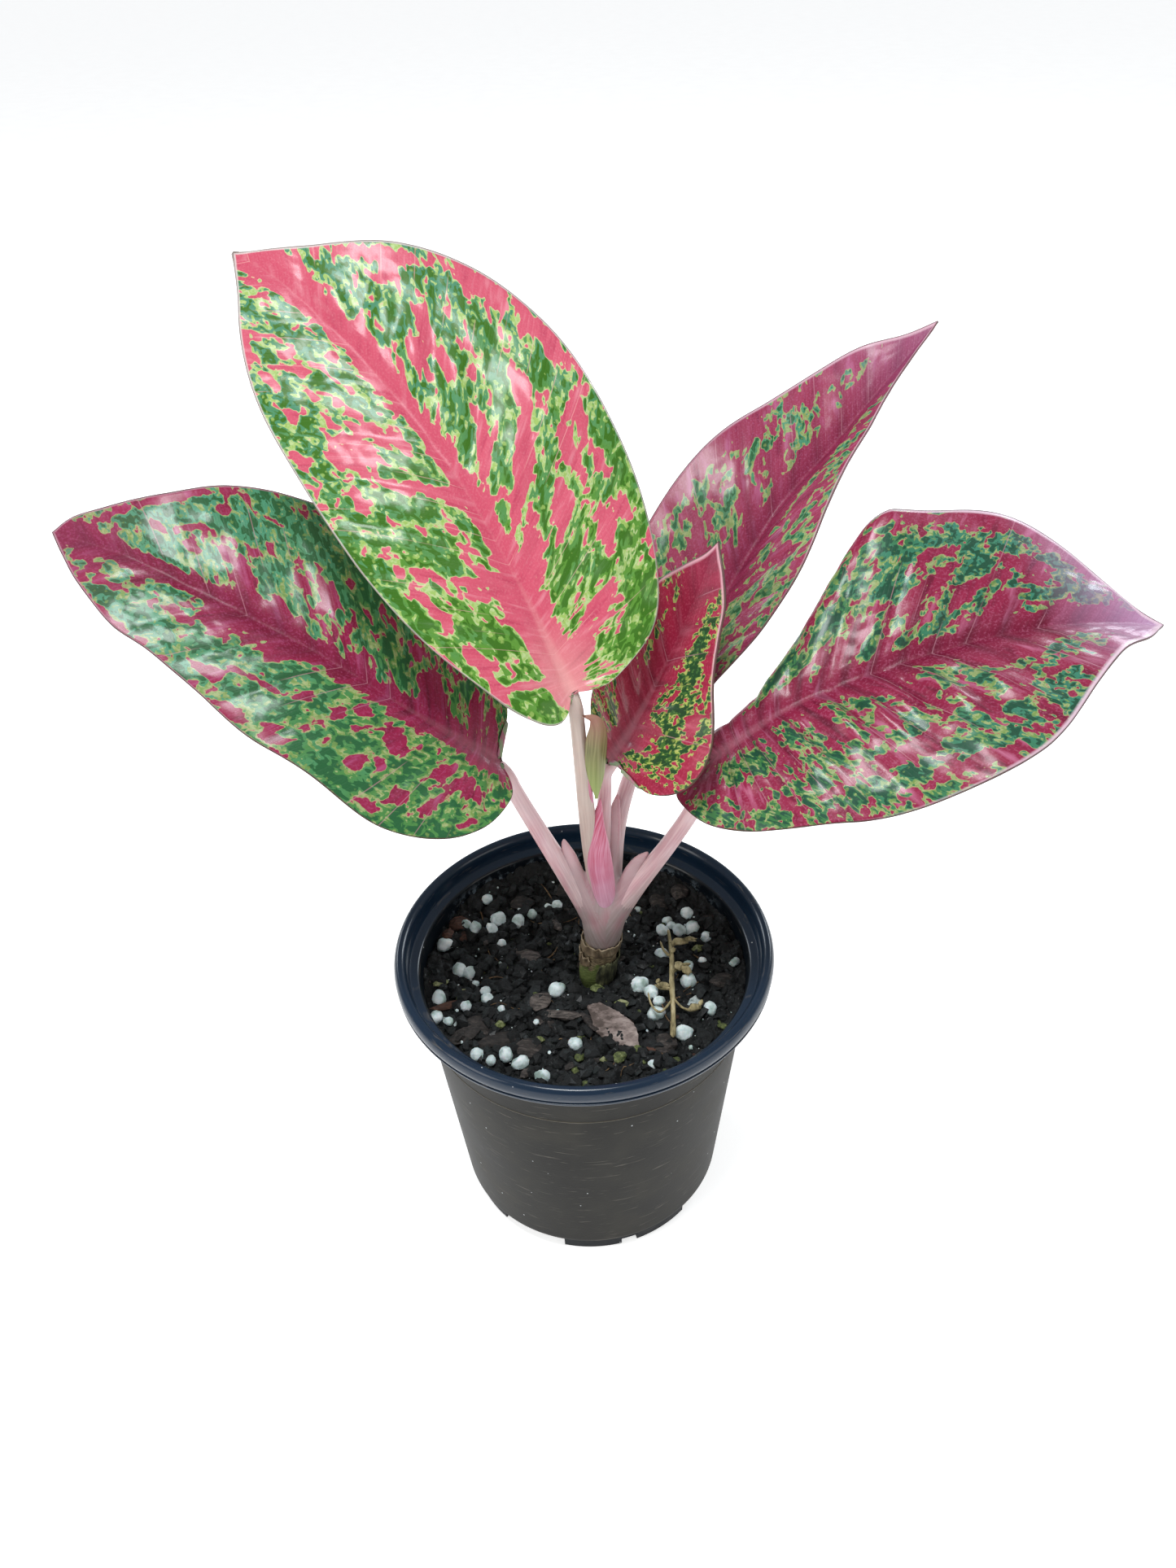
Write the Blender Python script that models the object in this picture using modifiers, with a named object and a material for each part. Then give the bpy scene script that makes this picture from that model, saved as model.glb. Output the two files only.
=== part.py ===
"""A potted red stardust aglaonema: five mottled leaves on pink stalks over a short cane, in a nursery pot.

Metres, +Z up. The origin is on the ground under the middle of the pot. Sizes below are in millimetres.
"""

import math
import random
from dataclasses import dataclass

import bmesh
import bpy
import numpy as np
from mathutils import Euler, Matrix, Vector, noise

MM = 0.001
GAP = 0.3
BED_STRETCH = 1.6  # how much more than the gap a bed grows at its ends and corners
OBJECT_NAME = "potted_red_stardust_aglaonema"

# Pot
POT_HEIGHT = 93.5
RIM_RADIUS = 54.5
BODY_TOP_RADIUS = 48.2
BODY_FOOT_RADIUS = 40.8
FOOT_RADIUS = 39.3
FOOT_HEIGHT = 5.5
WALL = 1.3
FLOOR = 2.0
RIM_DEPTH = 6.0
MOULD_LINE_DROP = 12.0
NOTCH_QUARTERS = 4
WIDE_NOTCH = (-119.0, 21.0, 4.7)  # turn in degrees, width, height
NARROW_NOTCH = (-74.0, 5.0, 2.8)
NOTCH_REACH = 12.0
POT_SIDES = 56

# Soil
SOIL_LEVEL = 80.5
SOIL_BUMP = 1.6
SOIL_BUMP_LENGTH = 11.0
SOIL_SEED = 7
SOIL_SIDES = 36
SOIL_RINGS = (0, 0.2, 0.4, 0.6, 0.8, 0.94)
SOIL_SIDE_GAP = 0.5
BEAD_EDGE = 43.8
BEAD_RADIUS = 2.3
BEAD_SPREAD = 4.2
BEAD_RISE = 0.35
BEAD_SQUASH = 0.85
CHIP_THICKNESS = 2.4
CHIP_TILT = 6.0

# Perlite beads, as (x, y, how many lie together)
BEAD_SPOTS = (
    (-36, 30, 1), (-28, 23, 3), (-18, 25, 2), (-17, 16, 1), (-42, 12, 1), (-35, 2, 2), (-24, 12, 1),
    (-24, 3, 1), (-41, -9, 1), (-28, -8, 2), (-33, -14, 1), (-41, -19, 1), (-7, -9, 1), (-3, -28, 1),
    (-28, -32, 2), (-19, -34, 2), (-11, -38, 1), (-7, 27, 1), (30, 19, 3), (35, 12, 1), (20, 5, 1),
    (34, -2, 2), (16, -8, 2), (45, 0, 1), (36, -17, 2), (28, -27, 1), (16, -34, 1), (17, 27, 1),
)
# Bark chips in the soil, as (x, y, length, width, turn in degrees)
CHIPS = (
    (-37, -13, 13, 5, 18), (-35, 21, 9, 6, 70), (18, -30, 6, 3, 95), (-22, -22, 16, 11, 30),
    (-2, 34, 12, 8, 15), (-12, 12, 11, 7, 140), (25, 29, 10, 6, 50), (8, -38, 9, 5, 160),
    (-7, -19, 12, 5, 170), (38, -8, 8, 5, 20),
)

# Cane and crown
CANE = ((3.6, 0, 70, 4.7), (3.8, 0, 80, 4.8), (4.2, 0, 85, 4.9), (4.7, 0, 90, 5.3), (4.9, 0, 94.5, 5.5))
CANE_HOLE_RADIUS = 5.6
CANE_HOLE_RISE = 5.0
CROWN = ((5.0, 0, 95, 5.6), (5.1, 0, 98, 5.9), (5.8, 0, 103, 5.9), (6.4, 1, 108, 4.8), (6.6, 2, 113, 3.6))
SPEAR = ((6.9, 0.5, 108, 3.3), (6.3, 0, 118, 3.3), (6.1, -0.4, 128, 2.9), (5.9, -0.4, 137, 1.7),
         (5.8, 0, 144, 0.4))

# Blade build
BLADE_THICKNESS = 0.8
BLADE_ROWS = 22
BLADE_HALF_COLUMNS = 4
HOOD_ROWS = 12
HOOD_HALF_COLUMNS = 3
VEIN_LEAD = 2.0
FACE_INSETS = (6.0, 10.0)  # where the face's roll is read, from the base and from the tip
WAVE_WIDTH = 35.0
WAVE_SHIFT = 0.8
HANG_SOFTNESS = 4.0
RIB_POINTS = 8
RIB_START = 0.02
RIB_REACH = 0.9
RIB_END_RADIUS = 0.5
RIB_CLEARANCE = 0.66


@dataclass
class Leaf:
    """One leaf. Angles are in degrees, and each triple holds values at the base, the middle and the tip."""

    stalk: tuple  # (x, y, z, radius) from the crown to just below the blade
    midrib: tuple  # (x, y, z) from the junction with the stalk to the tip
    face_roll: tuple  # how far the face is turned about the midrib, at the base and the tip
    left_fold: tuple  # how far each half rises from the face, beside the midrib
    right_fold: tuple
    left_curl: tuple  # how much each half bends back down, for each 10 mm across
    right_curl: tuple
    left_margin: tuple  # (along, across) from the junction to the tip, on the flat blade
    right_margin: tuple
    wave: tuple = (0.0, 1.0, 0.0)  # height at the margin, number along the blade, phase
    droop: tuple = ()  # (side, strip beside the midrib, start, angle, bend radius, sweep) of a hanging lobe
    rib_radius: float = 1.9
    facing: tuple = ()  # the way the whole face looks, where the roll doesn't give it
    sheath: tuple = ()  # (x, y, z, radius) of the sheath's free edge


LEAVES = {
    "top": Leaf(
        stalk=((5.8, 0.5, 103, 3.4), (4.8, 0.2, 116, 3.0), (3.3, -0.4, 129, 2.7), (2.4, -1.2, 143, 2.5),
               (1.3, -2.4, 160, 2.4), (0.7, -2.7, 171, 2.2)),
        midrib=((0, -5, 181), (-10, 6, 201), (-22, 19, 220), (-35, 33, 235), (-51, 47, 249), (-68, 60, 261),
                (-80, 68, 266)),
        face_roll=(-22, -34),
        left_fold=(12, 10, 4), right_fold=(10, 8, 4), left_curl=(5, 6, 4), right_curl=(6, 6, 4),
        left_margin=((0, 0), (-4.5, 4), (-5, 8), (-2, 12), (5, 17), (24, 26), (45, 31), (66, 32), (87, 30),
                     (104, 26), (118, 19), (131, 9), (140.4, 0)),
        right_margin=((0, 0), (-1.5, 5), (-1, 12), (6, 25), (20, 33), (39, 39), (59, 41), (78, 41),
                      (96, 37.5), (112, 27), (126, 11), (134, 4), (140.4, 0)),
        wave=(1.2, 2.4, 0.6),
    ),
    "left": Leaf(
        stalk=((4.6, 0, 102, 3.6), (1.4, 0, 111, 3.4), (-3.6, 0, 121, 2.9), (-11.2, 0, 137, 2.4),
               (-16, 0.4, 147.5, 2.2)),
        midrib=((-19, 0, 158), (-40, 3, 172), (-61, 8, 186), (-84, 14, 198), (-107, 21, 208),
                (-127, 28, 212)),
        face_roll=(-24, -30),
        left_fold=(8, 8, 6), right_fold=(10, 12, 8), left_curl=(6, 6, 4), right_curl=(6, 6, 6),
        left_margin=((0, 0), (-5, 5), (-6, 10), (-3, 19), (5, 26.5), (20, 31), (38, 29), (56, 28),
                     (72, 23.5), (86, 20), (98, 18), (111, 11.5), (119, 5.5), (125.4, 0)),
        right_margin=((0, 0), (2.5, 3.5), (3, 8), (4, 13), (10, 23), (24, 32), (44, 38), (62, 39), (80, 36),
                      (93, 29), (104, 19), (115, 10.5), (122, 5.5), (125.4, 0)),
        wave=(1.6, 2.2, 2.4),
        sheath=((2.4, 0.8, 112, 2.6), (0.2, 1.2, 120, 2.2), (-2.2, 1.2, 126.5, 1.3), (-3.6, 1.2, 131, 0.4)),
    ),
    "right": Leaf(
        stalk=((7, 0, 102, 3.4), (11.6, 0, 108.5, 3.3), (16.4, -0.6, 117, 2.9), (24.4, -1, 130, 2.4),
               (30.4, -1.4, 142, 2.2)),
        midrib=((34, -2, 158), (54, 2, 170), (80, 7, 178), (106, 13, 182), (133, 20, 181), (156, 26, 176)),
        face_roll=(18, 2),
        left_fold=(8, 34, 16), right_fold=(6, 4, 8), left_curl=(7, 2, 3), right_curl=(7, 5, 3),
        left_margin=((0, 0), (-6, 5), (-6, 14), (2, 24), (18, 31), (38, 36.5), (56, 38.5), (72, 39.5),
                     (86, 38.5), (99, 33), (111, 24), (119, 14), (125, 5), (130.7, 0)),
        right_margin=((0, 0), (-6, 1.5), (-11, 2.5), (-12, 7), (-8, 17), (5, 27.5), (20, 34.5), (40, 38.5),
                      (56, 40.5), (68, 38.5), (80, 33), (94, 23), (108, 13.5), (120, 8), (130.7, 0)),
        wave=(1.8, 2.6, 0.4),
        droop=(("left", 2, 19, 38, 6, 95),),
        sheath=((9.6, 0.8, 109, 2.6), (12.6, 1.2, 116, 2.2), (15.6, 1.2, 121, 1.4), (18.4, 1.2, 125, 0.4)),
    ),
    "back": Leaf(
        stalk=((7, 1.6, 105, 3.0), (8.6, 4, 114, 2.8), (10.2, 8, 127, 2.5), (13, 11, 138, 2.2),
               (17, 14, 149, 2.1)),
        midrib=((23, 18, 164), (41, 34, 186), (56, 48, 203), (71, 62, 213), (87, 76, 225), (103, 88, 238)),
        face_roll=(22, 16),
        left_fold=(22, 16, 10), right_fold=(38, 42, 32), left_curl=(4, 4, 3), right_curl=(5, 5, 4),
        left_margin=((0, 0), (-4, 5), (-2, 13), (8, 21), (24, 26), (44, 27.5), (62, 26), (80, 22.3), (99, 17),
                     (112, 12), (122, 4.5), (130.4, 0)),
        right_margin=((0, 0), (-2, 5), (2, 12), (12, 15.5), (25, 19.5), (40, 21), (50, 20.2), (62, 17),
                      (77, 11.5), (90, 8.5), (104, 4.5), (116, 2), (124, 1), (130.4, 0)),
        wave=(1.0, 2.0, 0.0),
        sheath=((9.2, 5, 120, 2.0), (10, 6.4, 128, 1.8), (10.4, 7.4, 134, 1.2), (10.6, 8, 138.5, 0.4)),
    ),
    "young": Leaf(
        stalk=((6.8, 2.4, 106, 2.8), (6.6, 4.4, 119, 2.4), (6.8, 5, 133, 2.0), (7.3, 5, 144, 1.8)),
        midrib=((8, 3, 154), (15, 6, 164), (22, 10, 176), (30, 14, 193), (36, 16, 209)),
        face_roll=(14, 10),
        left_fold=(20, 16, 10), right_fold=(14, 10, 6), left_curl=(3, 4, 4), right_curl=(7, 7, 5),
        left_margin=((0, 0), (2, 4), (7, 11), (14, 15), (26, 17), (38, 16), (47, 12.5), (54, 7), (59, 2.5),
                     (63.5, 0)),
        right_margin=((0, 0), (2.5, 3.5), (2.5, 9), (3, 18), (9, 25.5), (16, 27), (25, 23.5), (34, 18),
                      (44, 14), (52, 11.3), (58, 6.5), (63.5, 0)),
        wave=(0.8, 1.6, 1.0),
        rib_radius=1.5,
    ),
}

# The green hood is a small pointed sheath leaf, keel outwards, with both halves rolled back
HOOD = Leaf(
    stalk=(),
    midrib=((6.0, -3.3, 136), (6.1, -4.3, 144), (6.3, -5.2, 154), (6.8, -6.1, 162.4), (7.0, -6.6, 167.7),
            (6.2, -7, 172.2), (4.0, -7.4, 176)),
    face_roll=(0, 0),
    left_fold=(20, 24, 20), right_fold=(16, 20, 20), left_curl=(-90, -110, -90), right_curl=(-90, -110, -90),
    left_margin=((0, 0), (1, 1.6), (8, 3.2), (18, 4.4), (28, 3.8), (36, 1.6), (41.5, 0)),
    right_margin=((0, 0), (1, 1.2), (8, 2.4), (18, 3.6), (28, 3.6), (36, 1.6), (41.5, 0)),
    facing=(-0.45, 0.9, 0),
)

# A dry flower stem with its side twigs, lying on the soil, as (x, y, z, radius)
TWIGS = (
    ((23.2, 20, 85.6, 0.6), (24.2, 10, 84.6, 0.8), (25.4, 0, 83.6, 0.9), (24.4, -12, 82.8, 1.0),
     (23.4, -22, 82.2, 1.1), (22.8, -31, 81.4, 1.4)),
    ((24.3, 9, 84.5, 0.7), (28, 10.5, 85, 0.6), (32.5, 9.2, 85.4, 0.5)),
    ((25.3, 1, 83.7, 0.7), (21, 3.5, 85, 0.6), (18.5, 6, 86.4, 0.5)),
    ((25.0, -6, 83.4, 0.8), (29, -3.5, 83.8, 0.6), (33, -3.5, 84.6, 0.5)),
    ((24.2, -14, 82.7, 0.8), (19.5, -17, 83.2, 0.6), (16.5, -16.5, 84.2, 0.5)),
)
# The large bark flake's outline, flat, round its own middle
FLAKE_OUTLINE = (
    (-7.5, 3.5), (-6, 6.5), (-2.5, 5), (1.5, 5.5), (6.5, 1), (8.5, -4.5), (4.5, -6.5), (0, -3.5), (-5, -1.5),
)
FLAKE_PLACE = (7.6, -23.5, 82.4)
FLAKE_TILT = (12, -8, 5)
FLAKE_THICKNESS = 1.6


def unit(vectors):
    """The vectors, each made one long."""
    return vectors / np.linalg.norm(vectors, axis=-1, keepdims=True)


class Track:
    """A smooth curve through a few points, read by distance along it."""

    def __init__(self, points, steps=24):
        p = np.asarray(points, float)
        p = np.vstack([2 * p[0] - p[1], p, 2 * p[-1] - p[-2]])
        t = np.linspace(0, 1, steps, endpoint=False)[:, None]
        spans = [
            0.5 * (2 * b + (c - a) * t + (2 * a - 5 * b + 4 * c - d) * t**2 + (3 * b - 3 * c + d - a) * t**3)
            for a, b, c, d in zip(p, p[1:], p[2:], p[3:])
        ]
        self.curve = np.vstack(spans + [p[-2:-1]])
        strides = np.linalg.norm(np.diff(self.curve, axis=0), axis=1)
        self.reach = np.concatenate([[0], np.cumsum(strides)])
        self.length = self.reach[-1]

    def at(self, distance):
        """The points at these distances."""
        axes = range(self.curve.shape[1])
        return np.stack([np.interp(distance, self.reach, self.curve[:, axis]) for axis in axes], axis=-1)

    def heading(self, distance):
        """The curve's direction at these distances."""
        ahead = self.at(np.minimum(distance + 1, self.length))
        behind = self.at(np.maximum(distance - 1, 0))
        return unit(ahead - behind)


def by_thirds(values, share):
    """A triple's value at this share of the blade's length."""
    return np.interp(share, (0, 0.5, 1), values)


def rolled_up(heading, degrees):
    """The upward side of a leaf that points this way, turned about its midrib."""
    up = unit(np.array([0, 0, 1.0]) - heading[2] * heading)
    angle = math.radians(degrees)
    return up * math.cos(angle) + np.cross(heading, up) * math.sin(angle)


def hang(along, across, droop):
    """Where places across the blade go when the lobe outside a slanting line bends down, and the drop."""
    _, strip, start, angle, radius, sweep = droop
    run = HANG_SOFTNESS * np.log1p(np.exp((along - start) / HANG_SOFTNESS))
    line = strip + math.tan(math.radians(angle)) * run
    past = np.maximum(across - line, 0)
    turned = np.minimum(past / radius, math.radians(sweep))
    straight = past - turned * radius
    kept = radius * np.sin(turned) + straight * np.cos(turned)
    drop = radius * (1 - np.cos(turned)) + straight * np.sin(turned)
    return across - past + kept, drop


def midrib_frame(leaf, along):
    """Point, heading and upward side of the midrib at these distances from the junction."""
    track = Track(leaf.midrib)
    inside = np.clip(along, 0, track.length)
    heading = track.heading(inside)
    point = track.at(inside) + heading * (along - inside)[..., None]
    share = (inside / track.length)[..., None]
    from_base, from_tip = FACE_INSETS
    base_up = rolled_up(track.heading(from_base), leaf.face_roll[0])
    tip_up = rolled_up(track.heading(track.length - from_tip), leaf.face_roll[1])
    up = np.array(leaf.facing, float) if leaf.facing else base_up * (1 - share) + tip_up * share
    up = unit(up - (up * heading).sum(axis=-1, keepdims=True) * heading)
    return point, heading, up, share[..., 0]


def on_blade(leaf, along, across):
    """Points of the blade's middle surface, for flat places; across is negative on the left half."""
    left = across < 0
    width = np.abs(across)
    drop = np.zeros_like(width)
    for droop in leaf.droop:
        moved, lowered = hang(along, width, droop)
        chosen = left if droop[0] == "left" else ~left
        width, drop = np.where(chosen, moved, width), np.where(chosen, lowered, drop)
    point, heading, up, share = midrib_frame(leaf, along)
    fold = np.where(left, by_thirds(leaf.left_fold, share), by_thirds(leaf.right_fold, share))
    curl = np.where(left, by_thirds(leaf.left_curl, share), by_thirds(leaf.right_curl, share))
    fold, bend = np.radians(fold), np.radians(curl) / 10
    sideways = (np.sin(fold) - np.sin(fold - bend * width)) / bend
    lift = (np.cos(fold - bend * width) - np.cos(fold)) / bend
    height, count, phase = leaf.wave
    swing = np.sin(2 * math.pi * count * share + phase + WAVE_SHIFT * left)
    lift = lift + height * (width / WAVE_WIDTH) ** 2 * swing
    side = np.cross(heading, up) * np.where(left, -1, 1)[..., None]
    return point + side * sideways[..., None] + up * (lift - drop)[..., None]


def flat_places(leaf, row, column):
    """Flat places for rows 0 to 1 along the margin and columns -1 to 1 across, as (along, across)."""
    length = Track(leaf.midrib).length
    root = np.stack([length * row**VEIN_LEAD, 0 * row], axis=-1)
    left, right = Track(leaf.left_margin), Track(leaf.right_margin)
    left_edge = left.at(row * left.length) * (1, -1)
    right_edge = right.at(row * right.length)
    edge = np.where((column < 0)[:, None], left_edge, right_edge)
    flat = root + (edge - root) * np.abs(column)[:, None]
    return flat[:, 0], flat[:, 1]


def material(name, colour, roughness=0.5, metallic=0.0):
    """A plain material with this colour, given as linear red, green and blue."""
    made = bpy.data.materials.new(name)
    made.use_nodes = True
    shader = made.node_tree.nodes["Principled BSDF"]
    shader.inputs["Base Color"].default_value = (*colour, 1)
    shader.inputs["Roughness"].default_value = roughness
    shader.inputs["Metallic"].default_value = metallic
    return made


def add(name, mesh, collection, finish=None):
    """A new object with this mesh in the collection."""
    made = bpy.data.objects.new(name, mesh)
    collection.objects.link(made)
    if finish:
        mesh.materials.clear()
        mesh.materials.append(finish)
    return made


def mesh_from(name, sculpt):
    """A mesh named so, that a function fills through bmesh."""
    mesh = bpy.data.meshes.new(name)
    edit = bmesh.new()
    sculpt(edit)
    edit.to_mesh(mesh)
    edit.free()
    return mesh


def settled(made):
    """The object with its modifiers applied, or its curve made a mesh with its caps welded."""
    bpy.context.view_layer.update()
    graph = bpy.context.evaluated_depsgraph_get()
    mesh = bpy.data.meshes.new_from_object(made.evaluated_get(graph))

    def weld(edit):
        edit.from_mesh(mesh)
        bmesh.ops.remove_doubles(edit, verts=edit.verts, dist=0.00001)

    welded = mesh_from(made.name, weld)
    bpy.data.meshes.remove(mesh)
    name, collection, place = made.name, made.users_collection[0], made.matrix_world.copy()
    finish = made.data.materials[0] if made.data.materials else None
    bpy.data.objects.remove(made)
    solid = add(name, welded, collection, finish)
    solid.matrix_world = place
    return solid


def united(name, pieces, collection, finish):
    """One body joined from overlapping pieces, which are removed."""
    group = bpy.data.collections.new(name + "_pieces")
    bpy.context.scene.collection.children.link(group)
    first, others = pieces[0], pieces[1:]
    for piece in others:
        for holder in list(piece.users_collection):
            holder.objects.unlink(piece)
        group.objects.link(piece)
    join = first.modifiers.new("join", "BOOLEAN")
    join.operation = "UNION"
    join.operand_type = "COLLECTION"
    join.collection = group
    join.solver = "EXACT"
    whole = settled(first)
    for piece in list(group.objects):
        bpy.data.objects.remove(piece)
    bpy.data.collections.remove(group)
    whole.name = name
    whole.data.name = name
    for holder in list(whole.users_collection):
        holder.objects.unlink(whole)
    collection.objects.link(whole)
    whole.data.materials.clear()
    whole.data.materials.append(finish)
    return whole


def cut(made, cutter):
    """Takes a cutter's shape out of the object and hides the cutter."""
    cutter.hide_render = True
    cutter.display_type = "WIRE"
    slot = made.modifiers.new("cut " + cutter.name, "BOOLEAN")
    slot.operation = "DIFFERENCE"
    slot.object = cutter
    slot.solver = "EXACT"


def lengthened(points, extra):
    """The points with a little more at both ends of the line."""
    if not extra:
        return points
    (first, second), (before, last) = np.array(points[:2], float), np.array(points[-2:], float)
    ahead = unit(last[:3] - before[:3]) * extra * BED_STRETCH
    behind = unit(first[:3] - second[:3]) * extra * BED_STRETCH
    return [(*(first[:3] + behind), first[3]), *points, (*(last[:3] + ahead), last[3])]


def tube(name, points, collection, finish=None, swell=0.0, spacing=6.0):
    """A round stalk through (x, y, z, radius) points, as a mesh; swell thickens it all over."""
    track = Track(lengthened(points, swell))
    count = max(3, round(track.length / spacing) + 1)
    curve = bpy.data.curves.new(name, "CURVE")
    curve.dimensions = "3D"
    curve.bevel_depth = MM
    curve.bevel_resolution = 2
    curve.use_fill_caps = True
    spline = curve.splines.new("POLY")
    spline.points.add(count - 1)
    for place, (x, y, z, radius) in zip(spline.points, track.at(np.linspace(0, track.length, count))):
        place.co = (x * MM, y * MM, z * MM, 1)
        place.radius = radius + swell
    return settled(add(name, curve, collection, finish))


def turned(name, profile, sides, collection, finish=None):
    """A body turned round +Z from an outline of (radius, height) points that runs down its outer side."""
    mesh = bpy.data.meshes.new(name)
    edges = [(n, n + 1) for n in range(len(profile) - 1)]
    mesh.from_pydata([(radius * MM, 0, height * MM) for radius, height in profile], edges, [])
    made = add(name, mesh, collection, finish)
    screw = made.modifiers.new("turn", "SCREW")
    screw.steps = screw.render_steps = sides
    screw.use_merge_vertices = True
    screw.merge_threshold = 0.00001
    screw.use_smooth_shade = True
    return made


def pot_profile():
    """The pot from the middle of its inner floor, up inside, over the rolled rim and down to the foot."""
    under_rim = POT_HEIGHT - RIM_DEPTH
    inner_top = BODY_TOP_RADIUS - WALL
    inner_foot = BODY_FOOT_RADIUS - WALL
    mould = under_rim - (MOULD_LINE_DROP - RIM_DEPTH)
    lean = (BODY_TOP_RADIUS - BODY_FOOT_RADIUS) / (under_rim - FOOT_HEIGHT)
    return [
        (0, FLOOR),
        (FOOT_RADIUS - WALL, FLOOR),
        (inner_foot, FOOT_HEIGHT + 1.5),
        (inner_top, under_rim - 1.2),
        (inner_top + 1.4, under_rim + 0.4),
        (RIM_RADIUS - 3.3, under_rim + 1.0),
        (RIM_RADIUS - 3.1, POT_HEIGHT - 1.7),
        (RIM_RADIUS - 2.5, POT_HEIGHT - 0.5),
        (RIM_RADIUS - 1.6, POT_HEIGHT),
        (RIM_RADIUS - 0.6, POT_HEIGHT - 0.4),
        (RIM_RADIUS, POT_HEIGHT - 1.7),
        (RIM_RADIUS, under_rim + 1.5),
        (RIM_RADIUS - 0.8, under_rim + 0.4),
        (BODY_TOP_RADIUS + 0.7, under_rim - 0.4),
        (BODY_TOP_RADIUS, under_rim - 2.0),
        (BODY_TOP_RADIUS - lean * (under_rim - mould) + 0.15, mould),
        (BODY_TOP_RADIUS - lean * (under_rim - mould) - 0.1, mould - 0.3),
        (BODY_FOOT_RADIUS, FOOT_HEIGHT + 0.7),
        (BODY_FOOT_RADIUS - 0.5, FOOT_HEIGHT),
        (FOOT_RADIUS + 0.3, FOOT_HEIGHT - 0.3),
        (FOOT_RADIUS, 0),
        (0, 0),
    ]


def drain_notch(number, notch, cutters):
    """A box that opens the foot and the floor's edge, in one quarter of the pot."""
    turn, width, height = notch
    size = Matrix.Diagonal((NOTCH_REACH * MM, width * MM, 2 * height * MM, 1))
    mesh = mesh_from("drain_notch", lambda edit: bmesh.ops.create_cube(edit, size=1, matrix=size))
    box = add(f"drain_notch_{number}_{width:.0f}", mesh, cutters)
    angle = math.radians(turn + 360 / NOTCH_QUARTERS * number)
    box.matrix_world = Matrix.Rotation(angle, 4, "Z") @ Matrix.Translation(((FOOT_RADIUS + 1) * MM, 0, 0))
    return box


def build_pot(parts, cutters):
    """The nursery pot with its stepped foot and drain notches."""
    black = material("pot plastic", (0.012, 0.013, 0.016), 0.42)
    pot = turned("pot", pot_profile(), POT_SIDES, parts, black)
    for number in range(NOTCH_QUARTERS):
        cut(pot, drain_notch(number, WIDE_NOTCH, cutters))
        cut(pot, drain_notch(number, NARROW_NOTCH, cutters))
    return pot


def soil_height(x, y):
    """The height of the lumpy soil surface at a place."""
    lump = noise.noise(Vector((x, y, SOIL_SEED * 10.0)) / SOIL_BUMP_LENGTH)
    return SOIL_LEVEL + SOIL_BUMP * lump


def soil_body(parts):
    """The root ball: a turned body clear of the pot, with a lumpy top."""
    lean = (BODY_TOP_RADIUS - BODY_FOOT_RADIUS) / (POT_HEIGHT - RIM_DEPTH - FOOT_HEIGHT)
    top_radius = BODY_TOP_RADIUS - WALL - SOIL_SIDE_GAP - lean * (POT_HEIGHT - RIM_DEPTH - SOIL_LEVEL)
    foot_radius = BODY_FOOT_RADIUS - WALL - SOIL_SIDE_GAP
    floor_radius = FOOT_RADIUS - WALL - 2 * SOIL_SIDE_GAP
    bottom = FLOOR + GAP
    rings = [(top_radius * share, SOIL_LEVEL) for share in SOIL_RINGS]
    low = [(top_radius, SOIL_LEVEL - 1.5), (foot_radius, FOOT_HEIGHT + 2.2)]
    low += [(floor_radius, bottom), (0, bottom)]
    body = settled(turned("soil", rings + low, SOIL_SIDES, parts))
    for vertex in body.data.vertices:
        if vertex.co.z > (SOIL_LEVEL - 0.5) * MM:
            vertex.co.z = soil_height(vertex.co.x / MM, vertex.co.y / MM) * MM
    return body


def soil_beads(draw):
    """Perlite beads sunk a third into the soil, in the clusters where they lie."""
    beads = []
    for x, y, count in BEAD_SPOTS:
        turn = draw.uniform(0, 2 * math.pi)
        for number in range(count):
            angle = turn + 2 * math.pi * number / count
            off = BEAD_SPREAD / 2 * (count > 1)
            radius = BEAD_RADIUS * draw.uniform(0.85, 1.1)
            spot = Vector((x + off * math.cos(angle), y + off * math.sin(angle)))
            spot = spot * min(1, BEAD_EDGE / spot.length)
            place = Matrix.Translation(Vector((*spot, soil_height(*spot) + BEAD_RISE * radius)) * MM)
            squash = Matrix.Diagonal((radius * MM, radius * MM, BEAD_SQUASH * radius * MM, 1))
            beads.append(place @ Matrix.Rotation(turn, 4, "Z") @ squash)
    return beads


def chip_place(x, y, length, width, turn):
    """The placing of a bark chip that lies nearly flat, half sunk."""
    place = Matrix.Translation(Vector((x, y, soil_height(x, y) + CHIP_THICKNESS / 8)) * MM)
    lean = Matrix.Rotation(math.radians(turn), 4, "Z") @ Matrix.Rotation(math.radians(CHIP_TILT), 4, "Y")
    return place @ lean @ Matrix.Diagonal((length * MM, width * MM, CHIP_THICKNESS * MM, 1))


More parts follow.
